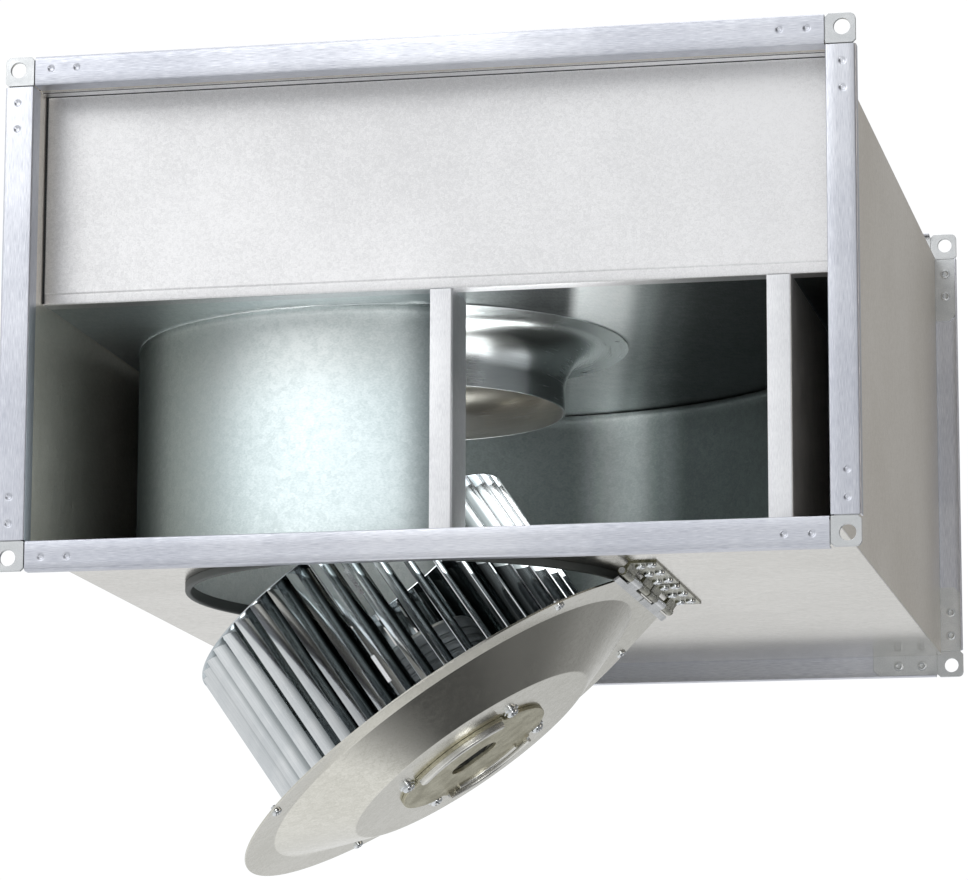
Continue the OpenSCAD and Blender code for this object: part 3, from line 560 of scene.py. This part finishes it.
crease_t = sheet_t / 2
fold_y = panel_y + crease_t
step_in, step_h = 0.7, 9
panel_path = rounded([(panel_low[1], half_h - crease_t), (fold_y, half_h - crease_t),
                      (fold_y, panel_low[2] + step_h), (fold_y + step_in, panel_low[2] + step_h - 1),
                      (fold_y + step_in, panel_low[2] + crease_t),
                      (panel_high[1], panel_low[2] + crease_t)],
                     [0, 1.6, 0.8, 0.8, 1.2, 0])
piece("front_wall", grid(carried(ribbon(panel_path, sheet_t), 0, -half_w, half_w)), panel_steel,
      "casing", ["front_panel"], edge=0.15)


def plain(name, light, dark, rough, grain, bump, source="UV", ior=1.5):
    """A non-metal: two tones mixed by fine noise (grain in mm), a roughness that moves between
    two values with it, and a bump in mm."""
    made, tree, shader, where = new_material(name, source)
    grains = noise(tree, where, 1 / (grain * MM), 4.0)
    mixed = maths(tree, "ADD", grains, noise(tree, where, 1 / (grain * 30 * MM), 2.0))
    tint = two_tones(tree, remap(tree, mixed, 0.7, 1.3), light, dark)
    dress(tree, shader, tint, remap(tree, mixed, 0.7, 1.3, *rough), grains, bump)
    shader.inputs["IOR"].default_value = ior
    return made


# Nearly black, matt strips under the top at the folds and upright at the panel's sides: painted shadow
# lines where the gaps at the joints lie in shade.
shadow_line_dark = plain("dark strips, painted shadow lines", "#2E3032", "#1F2122", (0.6, 0.75), 1.5, 0.03)
shadow_line_w, shadow_post_w = 1.0, 1.3
# Each strip is a painted shadow line at a fold or at a side of the panel.
shadow_strips = []
for y, deep in ((lip_d + 0.7, 1.7), (panel_low[1] + 1.5, 1.5), (panel_y - 0.6, 1.8)):
    near, far, low = y - shadow_line_w / 2, y + shadow_line_w / 2, half_h - deep
    bead = rounded([(near, half_h), (near, low), (far, low), (far, half_h)], [0, 0.3, 0.3, 0],
                   closed=True)
    shadow_strips.append(grid(carried(bead, 0, 1 - half_w, half_w - 1)))
for x in (-half_w, half_w - shadow_post_w):
    near, far = panel_y - 1.1, panel_y - 0.1
    post = np.array([(x, near), (x + shadow_post_w, near), (x + shadow_post_w, far), (x, far)])
    shadow_strips.append(grid(carried(post, 2, panel_low[2] + 1, half_h - 0.1)))
piece("painted_shadow_lines", joined(shadow_strips), shadow_line_dark, "casing")

# ---- Divider ------------
# Smooth galvanised sheet that closes the outlet chamber above the impeller. It mirrors what stands
# below it; the soft light and dark stripes across it in depth are painted reflections and painted shade,
# set by the bands.

divider_steel_painted_bands = metal("smooth galvanised steel, divider", "#F2F6F6", "#E2E8E8", (0.4, 0.5),
                      (0.9, 5.0, 0.9), source="Object", crystal=5, cloud=120, bump=0.006,
                      painted_bands=((1, 0.21, 0), [
                          (-360, 0.3), (-230, 0.8), (-60, 1.0), (15, 0.7), (45, 0.2), (90, 0.05),
                          (109, 0.06), (121, 1.0), (152, 1.0), (170, 0.45), (190, 0.2), (215, 0.1),
                          (380, 0.07)]))
coat(["divider_plate"], divider_steel_painted_bands)

# ---- Inlet cone ------------
# Steel sheet spun on a lathe: a flat rim under the divider, a quarter-circle bell and a short
# straight throat. Spinning leaves fine rings and a polish that mirrors in bands.

cone_low, cone_high = in_mm(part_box("inlet_cone"))
fan_x, fan_y = (cone_low[:2] + cone_high[:2]) / 2
cone_rim_r = (cone_high[0] - cone_low[0]) / 2
throat_r = 117.0
bell_r = 34.6

spun_steel = metal("spun steel", "#E4E8E8", "#D6DBDB", (0.2, 0.28), (60.0, 1.2, 1.2), cloud=90,
                   bump=0.003)


def spun(profile, steps=128, start=0.0, stop=2 * math.pi):
    """A closed (radius, height) outline turned about the fan's upright axis."""
    full = stop - start > 6.28
    turn = np.linspace(start, stop, steps, endpoint=not full)[:, None]
    return np.stack([fan_x + profile[:, 0] * np.cos(turn), fan_y + profile[:, 0] * np.sin(turn),
                     np.broadcast_to(profile[:, 1], (steps, len(profile)))], -1)


def arc(centre, radius, start, stop, steps):
    """Points of an arc, angles in degrees."""
    turn = np.radians(np.linspace(start, stop, steps))
    return np.asarray(centre) + radius * np.stack([np.cos(turn), np.sin(turn)], -1)


bell_centre = (throat_r + 0.6 + bell_r, cone_high[2] - 0.6 - bell_r)
cone_path = np.concatenate([[(cone_rim_r, cone_high[2] - 0.6)], arc(bell_centre, bell_r, 90, 180, 24),
                            [(throat_r + 0.6, cone_low[2] + 1.2)], [(throat_r + 0.6, cone_low[2])]])
piece("cone", grid(spun(ribbon(cone_path, sheet_t)), "ring"), spun_steel, "casing",
      ["inlet_cone"], edge=0.2)

# ---- Scroll ------------
# Galvanised strip bent round the impeller in three tangent arcs and let into a bead under the
# divider. The tongue and the outlet wall are strips of the same sheet with a narrow front fold.

scroll_low, scroll_high = in_mm(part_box("scroll_wall"))
tongue_low, tongue_high = in_mm(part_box("tongue_post"))
scroll_t = 1.0
nose_r = 18.0
scroll_r1 = 192.0

# The curved wall's broad soft upright stripes are painted reflections and painted shade, set by the
# bands.
scroll_steel_painted_bands = metal("galvanised steel strip", "#E2E7E6", "#D2D9D8", (0.52, 0.62), (2.0, 1.2, 1.2),
                     source="Object", crystal=4, cloud=140, bump=0.004, painted_bands=((1, 0.21, 0), [
                         (-330, 0.25), (-228, 0.3), (-195, 1.0), (-20, 1.0), (20, 0.35),
                         (120, 0.25), (176, 1.0), (200, 0.5), (222, 0.25), (380, 0.2)]))
# Folded edges that catch the front light: nearly white, with fine upright lines.
strip_steel = metal("galvanised steel strip, outlet edge", "#F0F1F3", "#DDDEE1", (0.38, 0.5),
                    (5.0, 0.8, 0.8), cloud=40, bump=0.02)

arc1 = scroll_low[:2] + scroll_t + scroll_r1
arc2_r = scroll_high[1] - scroll_t - arc1[1]
arc2 = np.array([scroll_low[0] + scroll_t + arc2_r, arc1[1]])
arc3_r = scroll_high[0] - scroll_t - arc2[0]
arc3 = np.array([arc2[0], scroll_high[1] - scroll_t - arc3_r])
nose = np.array([tongue_high[0] - nose_r, 0.0])
nose[1] = arc1[1] - math.sqrt((scroll_r1 + nose_r) ** 2 - (nose[0] - arc1[0]) ** 2)
nose_turn = math.degrees(math.atan2(arc1[1] - nose[1], arc1[0] - nose[0]))


def upright_strip(path, thickness, z0, z1, bead=0.0):
    """A plan path thickened and carried from z0 to z1. A bead bulges to each side by its size
    over the topmost 6 mm, as half a sine wave."""
    bead_h = 6
    heights = [z0, z1]
    if bead:
        heights = [z0, z1 - 2 * bead_h, *np.linspace(z1 - bead_h, z1, 9)]
    swell = [bead * math.sin(math.pi * (z - z1 + bead_h) / bead_h) if bead and z > z1 - bead_h else 0
             for z in heights]
    return np.concatenate([carried(ribbon(path, thickness + 2 * size), 2, z)
                           for z, size in zip(heights, swell)])


middle = scroll_t / 2
plan = np.concatenate([arc(arc1, scroll_r1 + middle, nose_turn - 180, -180, 48)[:-1],
                       arc(arc2, arc2_r + middle, 180, 90, 48)[:-1],
                       arc(arc3, arc3_r + middle, 90, 0, 48)])
piece("scroll", grid(upright_strip(plan, scroll_t, scroll_low[2], scroll_high[2], bead=0.6)),
      scroll_steel_painted_bands, "casing", ["scroll_wall"])

strip_w = 17
fold_r = 1.3
post = np.concatenate([
    rounded([(tongue_high[0] - strip_w, tongue_low[1] + middle),
             (tongue_high[0] - middle, tongue_low[1] + middle),
             (tongue_high[0] - middle, nose[1])], [0, fold_r, 0]),
    arc(nose, nose_r - middle, 0, nose_turn, 20)[1:]])
piece("tongue", grid(upright_strip(post, scroll_t, tongue_low[2], tongue_high[2])),
      strip_steel, "casing", ["tongue_post"], edge=0.12)

wall_low, wall_high = in_mm(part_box("outlet_wall"))
wall = rounded([(wall_low[0], wall_low[1] + middle), (wall_high[0] - middle, wall_low[1] + middle),
                (wall_high[0] - middle, wall_high[1])], [0, fold_r, 0])
piece("outlet_side", grid(upright_strip(wall, scroll_t, wall_low[2], wall_high[2])),
      strip_steel, "casing", ["outlet_wall"], edge=0.12)

# ---- Access seal ------------
# Extruded grey EPDM edge profile, pushed over the rim of the access hole all the way round. Rubber:
# dark, nearly matt, with a slight bloom; its lower edge is what the closed door presses on.

seal_low, seal_high = in_mm(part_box("access_seal"))
seal_out = (seal_high[0] - seal_low[0]) / 2
seal_in = seal_out - 4.5
plate_low = -half_h - sheet_t

rubber = plain("EPDM edge profile", "#565A59", "#3F4342", (0.5, 0.68), 0.8, 0.02, ior=1.52)
seal_outline = rounded([(seal_in, seal_low[2]), (seal_out, seal_low[2]), (seal_out, plate_low),
                        (seal_in + 2, plate_low), (seal_in + 2, -half_h), (seal_out - 1, -half_h),
                        (seal_out - 1, seal_high[2]), (seal_in, seal_high[2])],
                       [1.6, 1.6, 0.5, 0, 0, 0.3, 0.5, 0.5], closed=True)
piece("seal", grid(spun(seal_outline, 160), "ring"), rubber, "casing",
      ["access_seal"])

# ---- Hinges and their screws ------------
# Two zinc-plated steel hinges end to end, with rolled knuckles on plain pins. Each casing leaf is
# held by six pan-head screws, bright zinc with a pressed cross.

# Small glossy heads: bright points with a dark cross.
zinc_screw = metal("bright zinc-plated screw", "#E6E8EA", "#C9CDD0", (0.14, 0.24), (1.5, 1.5, 1.5),
                   cloud=10, bump=0.005)
# Plated, not polished: a soft gleam on pins, rivets, nuts and shaft.
zinc_part = metal("bright zinc-plated steel", "#DDDFE0", "#BFC2C4", (0.18, 0.3), (1.0, 1.0, 1.0),
                  source="Object", cloud=15, bump=0.01)
# Passivated zinc: olive grey and smooth, so the leaves look dark beside the sheet.
yellow_zinc = metal("zinc-plated hinge steel", "#94927A", "#504F40", (0.2, 0.32), (1.0, 5.0, 1.0),
                    source="Object", cloud=18, bump=0.015)
coat(["casing_leaf_front", "casing_leaf_rear"], yellow_zinc)
coat(["hinge_pin_front", "hinge_pin_rear", "door_nuts", "cone_rivets", "hub_rivets", "motor_nuts"],
     zinc_part)


def pan_head(radius, height):
    """Closed pan head on the plane z = 0: (radius * sin a, height * cos(a) ^ 0.55) over a quarter
    turn, with a cross pressed in by a third of the height where the distance from either arm's
    middle line is small."""
    turn = np.linspace(0, 2 * np.pi, 40, endpoint=False)[:, None]
    a = np.linspace(0.012, np.pi / 2, 16)
    r = np.concatenate([radius * np.sin(a), [radius, radius * 0.02]])
    z = np.concatenate([height * np.cos(a) ** 0.55, [0.0, 0.0]])
    x, y = r * np.cos(turn), r * np.sin(turn)
    width, reach = radius * 0.13, radius * 0.6
    arms = [np.clip(1.6 - np.abs(p) / width, 0, 1) * np.clip((reach - np.abs(q)) / (radius * 0.12), 0, 1)
            for p, q in ((x, y), (y, x))]
    sink = np.where(np.arange(len(z)) < 16, np.maximum(*arms) * height / 3, 0)
    return np.stack([x, y, np.broadcast_to(z, x.shape) - sink], -1)


def washer(outer, inner, thick):
    """Closed flat ring on the plane z = 0."""
    turn = np.linspace(0, 2 * np.pi, 40, endpoint=False)
    section = rounded([(inner, 0), (outer, 0), (outer, thick), (inner, thick)], [0, 0, 0.3, 0.2],
                      3, True)
    return np.stack([np.stack([section[:, 0] * np.cos(t), section[:, 0] * np.sin(t), section[:, 1]], -1)
                     for t in turn])


def looking_down(points, place, spin=0.0):
    """A head drawn on z = 0 turned to face down, spun about its axis and moved to place."""
    c, s = math.cos(spin), math.sin(spin)
    turn = np.array([[c, -s, 0], [-s, -c, 0], [0, 0, -1]])
    return points @ turn.T + np.asarray(place)


leaf_low, leaf_high = in_mm(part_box("casing_leaf_front"))
rear_leaf_low, rear_leaf_high = in_mm(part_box("casing_leaf_rear"))
door_joint = [joint for joint in frame["joints"] if joint["name"] == "door_hinge"][0]
hinge_x, hinge_z = door_joint["pos_m"][0] / MM, door_joint["pos_m"][2] / MM
heads = []
for low, high in ((leaf_low[1], leaf_high[1]), (rear_leaf_low[1], rear_leaf_high[1])):
    centre, reach = (low + high) / 2, (high - low) / 2 - 14
    for k in (-1, 0, 1):
        for row in (0, 1):
            place = (hinge_x + 11.2 + row * 9.5, centre + k * reach - row * 6, plate_low - 1.5)
            heads.append(grid(looking_down(pan_head(4.0, 2.6), place, 0.4 + k + row * 0.7), "head"))
piece("leaf_screws", joined(heads), zinc_screw, "casing", ["hinge_screws"])

# ---- Terminal box ------------
# Moulded grey ABS box on the casing's left side with a screwed lid and a cable gland underneath.
# Moulding leaves a fine even texture and soft corners.

abs_grey = plain("moulded grey ABS", "#8A8E90", "#7C8082", (0.42, 0.52), 0.6, 0.02, ior=1.53)
# Moulded nylon: even and slightly waxy, grey for the gland and white for the block.
nylon_grey = plain("moulded grey nylon", "#5E6265", "#505457", (0.4, 0.5), 0.8, 0.02, source="Object",
                   ior=1.53)
nylon_white = plain("moulded white nylon", "#DAD8CE", "#CBC9BF", (0.4, 0.5), 0.8, 0.02,
                    source="Object", ior=1.53)
coat(["cable_gland"], nylon_grey)
coat(["terminal_block"], nylon_white)


def cushion_box(low, high, corner, soft):
    """Box whose outline in the (y, z) plane is a rounded rectangle, carried from its back (high x)
    to its front (low x) and drawn in there by soft * (1 - cos a) while it goes forward by
    soft * sin a."""
    cy, cz = (low[1] + high[1]) / 2, (low[2] + high[2]) / 2
    hy, hz = (high[1] - low[1]) / 2, (high[2] - low[2]) / 2

    def ring(x, inset):
        keep = max(corner - inset, 0.4)
        outline = rounded([(hy - inset, hz - inset), (inset - hy, hz - inset), (inset - hy, inset - hz),
                           (hy - inset, inset - hz)], [keep] * 4, 8, True)
        return np.insert(outline + [cy, cz], 0, x, axis=1)

    rows = [ring(high[0], 0.0), ring(low[0] + soft, 0.0)]
    rows += [ring(low[0] + soft * (1 - math.sin(a)), soft * (1 - math.cos(a)))
             for a in np.linspace(0.2, math.pi / 2, 6)]
    return np.stack(rows)


box_low, box_high = in_mm(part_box("terminal_box"))
lid_low, lid_high = in_mm(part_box("terminal_lid"))
piece("box_body", grid(cushion_box(box_low, box_high, 6, 0.6)), abs_grey, "casing",
      ["terminal_box"], edge=0.3)
piece("box_lid", grid(cushion_box(lid_low, lid_high, 7, 1.6)), abs_grey, "casing",
      ["terminal_lid"])
heads = []
centre, reach = (box_low + box_high) / 2, (box_high - box_low) / 2 - 7
head = pan_head(3.5, 2.0) @ np.array([[0, 0, 1], [0, 1, 0], [-1, 0, 0]], float)
for sy, sz in ((-1, -1), (-1, 1), (1, -1), (1, 1)):
    place = [lid_low[0], centre[1] + sy * reach[1], centre[2] + sz * reach[2]]
    heads.append(grid(head + place, "head"))
piece("lid_screws", joined(heads), zinc_screw, "casing", ["terminal_lid_screws"])

# ---- Door ------------
# Galvanised steel sheet, 1.5 mm, drawn into a shallow pan: a flat rim that meets the seal, a cone
# and a flat bottom with the motor on it. The edge is cut straight where the hinges are.

open_angle = math.radians(-door_joint["range_deg"][0])
door_t = 1.5
rim_top = hinge_z
dish_top = rim_top - 24.4
dish_low = dish_top - door_t
door_r, door_rim_r, door_flat_r, spigot_r = 191.5, 165.0, 107.0, 56.0
edge_x = hinge_x - 4.5 - fan_x
edge_half, edge_shift = 88.0, 10.0
door_screw_r = 184.5

# Drawing leaves the zinc smooth: it mirrors the room in soft, clean shapes.
door_steel = metal("drawn galvanised steel", "#DEDCD3", "#CFCDC3", (0.14, 0.24), (1.6, 1.6, 1.6),
                   source="Object", crystal=4, cloud=160, bump=0.003)


def opened(points):
    """Points of the closed unit turned about the hinge by the angle at which it stands open."""
    p = np.array(points, float)
    dx, dz = p[..., 0] - hinge_x, p[..., 2] - hinge_z
    c, s = math.cos(open_angle), math.sin(open_angle)
    p[..., 0] = hinge_x + dx * c - dz * s
    p[..., 2] = hinge_z + dx * s + dz * c
    return p


def tangent_turn(corner):
    """Direction of the point where the line from the corner touches the door's circle."""
    side = 1 if corner[1] > edge_shift else -1
    return math.atan2(corner[1], corner[0]) + side * math.acos(min(1, door_r / math.hypot(*corner)))


upper, lower = (edge_x, edge_shift + edge_half), (edge_x, edge_shift - edge_half)
round_edge = arc((0, 0), door_r, math.degrees(tangent_turn(upper)),
                 360 + math.degrees(tangent_turn(lower)), 150)
door_edge = dense(rounded(np.vstack([round_edge, [lower, upper]]), [0] * 150 + [6, 6], closed=True), 8)


def door_grid():
    """For each point of the edge, a section from the spigot hole outwards: the drawn profile up to
    the rim, then straight to the edge, on the upper side and back on the lower side."""
    section = ribbon(rounded([(spigot_r + 0.2, dish_low + 0.75), (door_flat_r, dish_low + 0.75),
                              (door_rim_r, rim_top - 0.75), (door_rim_r + 12, rim_top - 0.75)],
                             [0, 4, 3, 0], 9), door_t)
    reach = np.linalg.norm(door_edge, axis=1)[:, None]
    way = (door_edge / reach)[:, None]
    r = section[None, :, 0]
    outer = np.clip((r - door_rim_r - 6) / 6, 0, 1)
    r = r * (1 - outer) + outer * reach
    return np.concatenate([fan_x + way[..., :1] * r[..., None], fan_y + way[..., 1:] * r[..., None],
                           np.broadcast_to(section[None, :, 1:], (len(reach), len(section), 1))], -1)


coat(["door_leaf_front", "door_leaf_rear"], zinc_part)
piece("door_pan", grid(opened(door_grid()), "ring"), door_steel, "door",
      ["door_plate"], edge=0.25)


def about_fan(radius, turn, z):
    """A place at a radius and direction about the fan's axis, in the closed unit."""
    return np.array([fan_x + radius * math.cos(turn), fan_y + radius * math.sin(turn), z])


quarter = [math.radians(a) for a in (45, 135, 225, 315)]
parts = []
for a in quarter:
    place = about_fan(door_screw_r, a, rim_top - door_t)
    parts.append(grid(opened(looking_down(pan_head(4.2, 2.6), place, a * 1.7)), "head"))
    shank = spun(np.array([(0.02, 0.0), (2.4, 0.0), (2.4, 4.2), (1.8, 4.9), (0.02, 4.9)]), 24)
    shank = shank - [fan_x, fan_y, 0] + about_fan(door_screw_r, a, rim_top - door_t)
    parts.append(grid(opened(shank), "head"))
piece("rim_screws", joined(parts), zinc_screw, "door", ["door_screws"])

# ---- Motor plate and screws ------------
# Die-cast aluminium end plate of the motor, dull olive grey from the as-cast skin, with two machined
# arc ribs, a slotted opening and a scallop round each of the four zinc-plated screws.

plate_r, plate_t, rib_h, screw_r, washer_r = 65.0, 3.0, 5.0, 69.0, 6.6
cast_skin = metal("die-cast aluminium, as cast", "#C6C2AC", "#A5A18C", (0.36, 0.5), (1.4, 1.4, 1.4),
                  cloud=14, bump=0.05, strength=0.9)
# Turned faces of the same casting: brighter, with fine rings.
machined = metal("machined aluminium", "#E6E5E0", "#C9C8C2", (0.2, 0.32), (20.0, 0.5, 0.5), cloud=20,
                 bump=0.01)
# Bare casting behind the plate: dark and matt.
cast_plain = metal("die-cast aluminium, motor flange", "#6E6F6C", "#4E4F4D", (0.4, 0.55),
                   (1.5, 1.5, 1.5), source="Object", cloud=20, bump=0.03)


def scalloped():
    """The plate's outline about its centre: its radius, or where a ray first meets a scallop of
    radius washer + 1.5 round the nearest screw."""
    turn = np.linspace(0, 2 * np.pi, 288, endpoint=False)
    off = (turn - np.pi / 4 + np.pi / 4) % (np.pi / 2) - np.pi / 4
    cut = (washer_r + 1.5) ** 2 - (screw_r * np.sin(off)) ** 2
    near = screw_r * np.cos(off) - np.sqrt(np.maximum(cut, 0))
    radius = np.where((cut > 0) & (near < plate_r), near, plate_r)
    return radius[:, None] * np.stack([np.cos(turn), np.sin(turn)], -1)


def slot(turn):
    """Points of a slot 41 by 25 mm in the given directions: two half circles 8 mm off the centre
    joined by straight sides."""
    off, end_r = 8, 12.5
    x, y = np.cos(turn), np.sin(turn)
    straight = end_r / np.maximum(np.abs(y), 1e-6)
    shift = off * np.abs(x)
    ends = shift + np.sqrt(np.maximum(shift ** 2 - off ** 2 + end_r ** 2, 0))
    radius = np.where(straight * np.abs(x) <= off, straight, ends)
    return radius[:, None] * np.stack([x, y], -1)


plate = plate_with_hole(scalloped(), slot, dish_low - plate_t, dish_low - 0.02)
plate = np.stack([plate[..., 0] + fan_x, plate[..., 2] + fan_y, plate[..., 1]], -1)
piece("motor_end_plate", grid(opened(plate), "ring"), cast_skin, "door",
      ["motor_plate"], edge=0.5)


def rib(middle, half, r_in, r_out, height):
    """Arc rib under the plate: a section with rounded lower edges carried round the fan's axis."""
    base = dish_low - plate_t + 0.4
    section = rounded([(r_in, base), (r_in, base - height), (r_out, base - height), (r_out, base)],
                      [0, 1.4, 1.4, 0])
    return opened(spun(section, 40, math.radians(middle - half), math.radians(middle + half)))


ribs = [grid(rib(270, 38, plate_r - 8, plate_r - 1.5, rib_h)),
        grid(rib(90, 38, plate_r - 4.5, plate_r - 1.0, rib_h)),
        grid(rib(90, 30, plate_r - 12, plate_r - 8.5, rib_h - 2))]
piece("motor_plate_ribs", joined(ribs), machined, "door", edge=0.3)

parts = []
for a in quarter:
    place = about_fan(screw_r, a, dish_low)
    parts.append(grid(opened(looking_down(washer(washer_r, 3.1, 1.2), place)), "ring"))
    parts.append(grid(opened(looking_down(pan_head(5.2, 3.9), place - [0, 0, 1.2], a * 2.3)), "head"))
piece("motor_fixings", joined(parts), zinc_screw, "door", ["motor_screws"])

# ---- Motor ------------
# External-rotor motor: laminated stator on the flange's tube, copper end turns, two bearings, and a
# cast aluminium rotor with turned bands that carries the impeller. Only its outside is ever seen.

# Stacked sheets: dark grey with fine level lines.
laminate = metal("stacked electrical steel", "#7A7E82", "#55595C", (0.3, 0.45), (8.0, 8.0, 0.5),
                 source="Object", cloud=20, bump=0.06, strength=0.9)
# Winding wire under clear enamel: warm brown with a gloss.
copper = metal("enamelled copper wire", "#B56B3D", "#8A4A26", (0.25, 0.4), (8.0, 8.0, 0.6),
               source="Object", cloud=10, bump=0.2, strength=0.9)
coat(["motor_flange"], cast_plain)
coat(["stator_core", "rotor_cage"], laminate)
coat(["stator_windings"], copper)
coat(["bearing_lower", "bearing_upper", "shaft"], zinc_part)

wheel_low = rim_top + 4
wheel_t = 1.2
rotor_r, rotor_low = 60.0, wheel_low - 6
rotor_top = rotor_low + 68
rotor_path = [(48, rotor_low), (rotor_r, rotor_low), (rotor_r, wheel_low),
              (rotor_r, wheel_low + wheel_t),
              (72, wheel_low + wheel_t),
              (72, wheel_low + wheel_t + 3), (rotor_r, wheel_low + wheel_t + 3)]
rotor_round = [0, 1, 0, 0, 0, 0.8, 1.5]
for z in np.arange(wheel_low + 12, rotor_top - 8, 7.0):
    rotor_path += [(rotor_r, z), (rotor_r - 1.2, z + 0.8), (rotor_r - 1.2, z + 2.2), (rotor_r, z + 3)]
    rotor_round += [0.3, 0.3, 0.3, 0.3]
rotor_path += [(rotor_r, rotor_top), (24, rotor_top), (20, rotor_top - 2.5), (0.02, rotor_top - 2.5),
               (0.02, rotor_top - 4), (47, rotor_top - 4), (48, rotor_top - 8)]
rotor_round += [5, 1, 1, 0, 0, 0, 0]
# Turned aluminium: satin, with fine rings round the rotor.
turned_cast = metal("turned cast aluminium", "#A9ACAE", "#8D9092", (0.28, 0.42), (40.0, 0.6, 0.6),
                    cloud=30, bump=0.02)
piece("rotor", grid(opened(spun(rounded(rotor_path, rotor_round, closed=True), 96)), "ring"),
      turned_cast, "impeller", ["rotor_shell"])

# ---- Impeller ------------
# Forward-curved drum impeller of bright galvanised steel: a back plate, an inlet ring and 44 curved
# blades whose tabs go through both. Smooth zinc mirrors its surroundings as dark and light stripes; on
# the blades these stripes are painted reflections and painted shade, set by the bands.

ring_top = rim_top + 141
wheel_r, eye_r, blade_count, blade_t = 140.0, 117.0, 44, 0.8
blade_tip, blade_turn = 139.4, math.radians(66)
bright_zinc = metal("bright galvanised impeller steel", "#D5DADC", "#A7AFB4", (0.10, 0.19),
                    (40.0, 0.7, 0.7), cloud=30, bump=0.006)
# A painted reflection and painted shade on each blade: one bright stripe along its middle, and darkness
# at both edges where it would mirror the dark wheel.
blade_zinc_painted_stripe = metal("bright galvanised blade steel", "#F0F3F4", "#D9DEE1", (0.08, 0.16),
                   (40.0, 0.7, 0.7), cloud=30, bump=0.006, painted_bands=((0, 1, 0), [
                       (0, 0.03), (9, 0.12), (16, 0.5), (23, 1.0), (28, 1.0),
                       (33, 1.0), (40, 0.5), (47, 0.12), (56, 0.03)]))

s, c = math.sin(blade_turn), 1 - math.cos(blade_turn)
blade_round = (math.sqrt((eye_r * s) ** 2 + (s * s + c * c) * (blade_tip ** 2 - eye_r ** 2))
               - eye_r * s) / (s * s + c * c)


def blade_line(share):
    """Middle line of a blade from heel to tip: it leaves the eye along the radius and bends with a
    constant radius towards the way the wheel turns, which is clockwise from above."""
    a = np.asarray(share)[:, None] * blade_turn
    return np.concatenate([eye_r + blade_round * np.sin(a), -blade_round * (1 - np.cos(a))], -1)


def upright(outline, z0, z1, turn):
    """A plan outline about the fan's axis, turned and carried from z0 to z1, in the open unit."""
    c, s = math.cos(turn), math.sin(turn)
    x = fan_x + outline[:, 0] * c - outline[:, 1] * s
    y = fan_y + outline[:, 0] * s + outline[:, 1] * c
    return opened(carried(np.column_stack([x, y]), 2, z0, z1))


blade_outline = ribbon(blade_line(np.linspace(0, 1, 11)), blade_t)
tab_outline = ribbon(blade_line(np.linspace(0.3, 0.75, 5)), blade_t)
turns = [2 * math.pi * (k + 0.5) / blade_count for k in range(blade_count)]
blades = [grid(upright(blade_outline, wheel_low + wheel_t, ring_top - wheel_t, a))
          for a in turns]
tabs = [grid(upright(tab_outline, ring_top - 0.2, ring_top + 0.9, a))
        for a in turns]
piece("blades", joined(blades), blade_zinc_painted_stripe, "impeller", ["impeller_blades"])
piece("blade_tabs", joined(tabs), bright_zinc, "impeller")

ring_outline = rounded([(eye_r, ring_top - wheel_t), (wheel_r, ring_top - wheel_t), (wheel_r, ring_top),
                        (eye_r, ring_top)], [0.4, 0.5, 0.5, 0.5], 4, True)
piece("inlet_ring", grid(opened(spun(ring_outline, 160)), "ring"), bright_zinc,
      "impeller", ["impeller_inlet_ring"])
disc_outline = rounded([(rotor_r, wheel_low), (wheel_r, wheel_low), (wheel_r, wheel_low + wheel_t),
                        (rotor_r, wheel_low + wheel_t)], [0, 0.5, 0.5, 0], 4, True)
piece("back_plate", grid(opened(spun(disc_outline, 160)), "ring"), bright_zinc,
      "impeller", ["impeller_back_plate"])

# Spring steel clips: small bright marks pushed onto two blades.
clip_steel = metal("bright spring steel clip", "#F0F1F2", "#DADCDE", (0.24, 0.34), (5.0, 0.6, 0.6),
                   source="Object", cloud=10, bump=0.01)
coat(["balance_clips"], clip_steel)
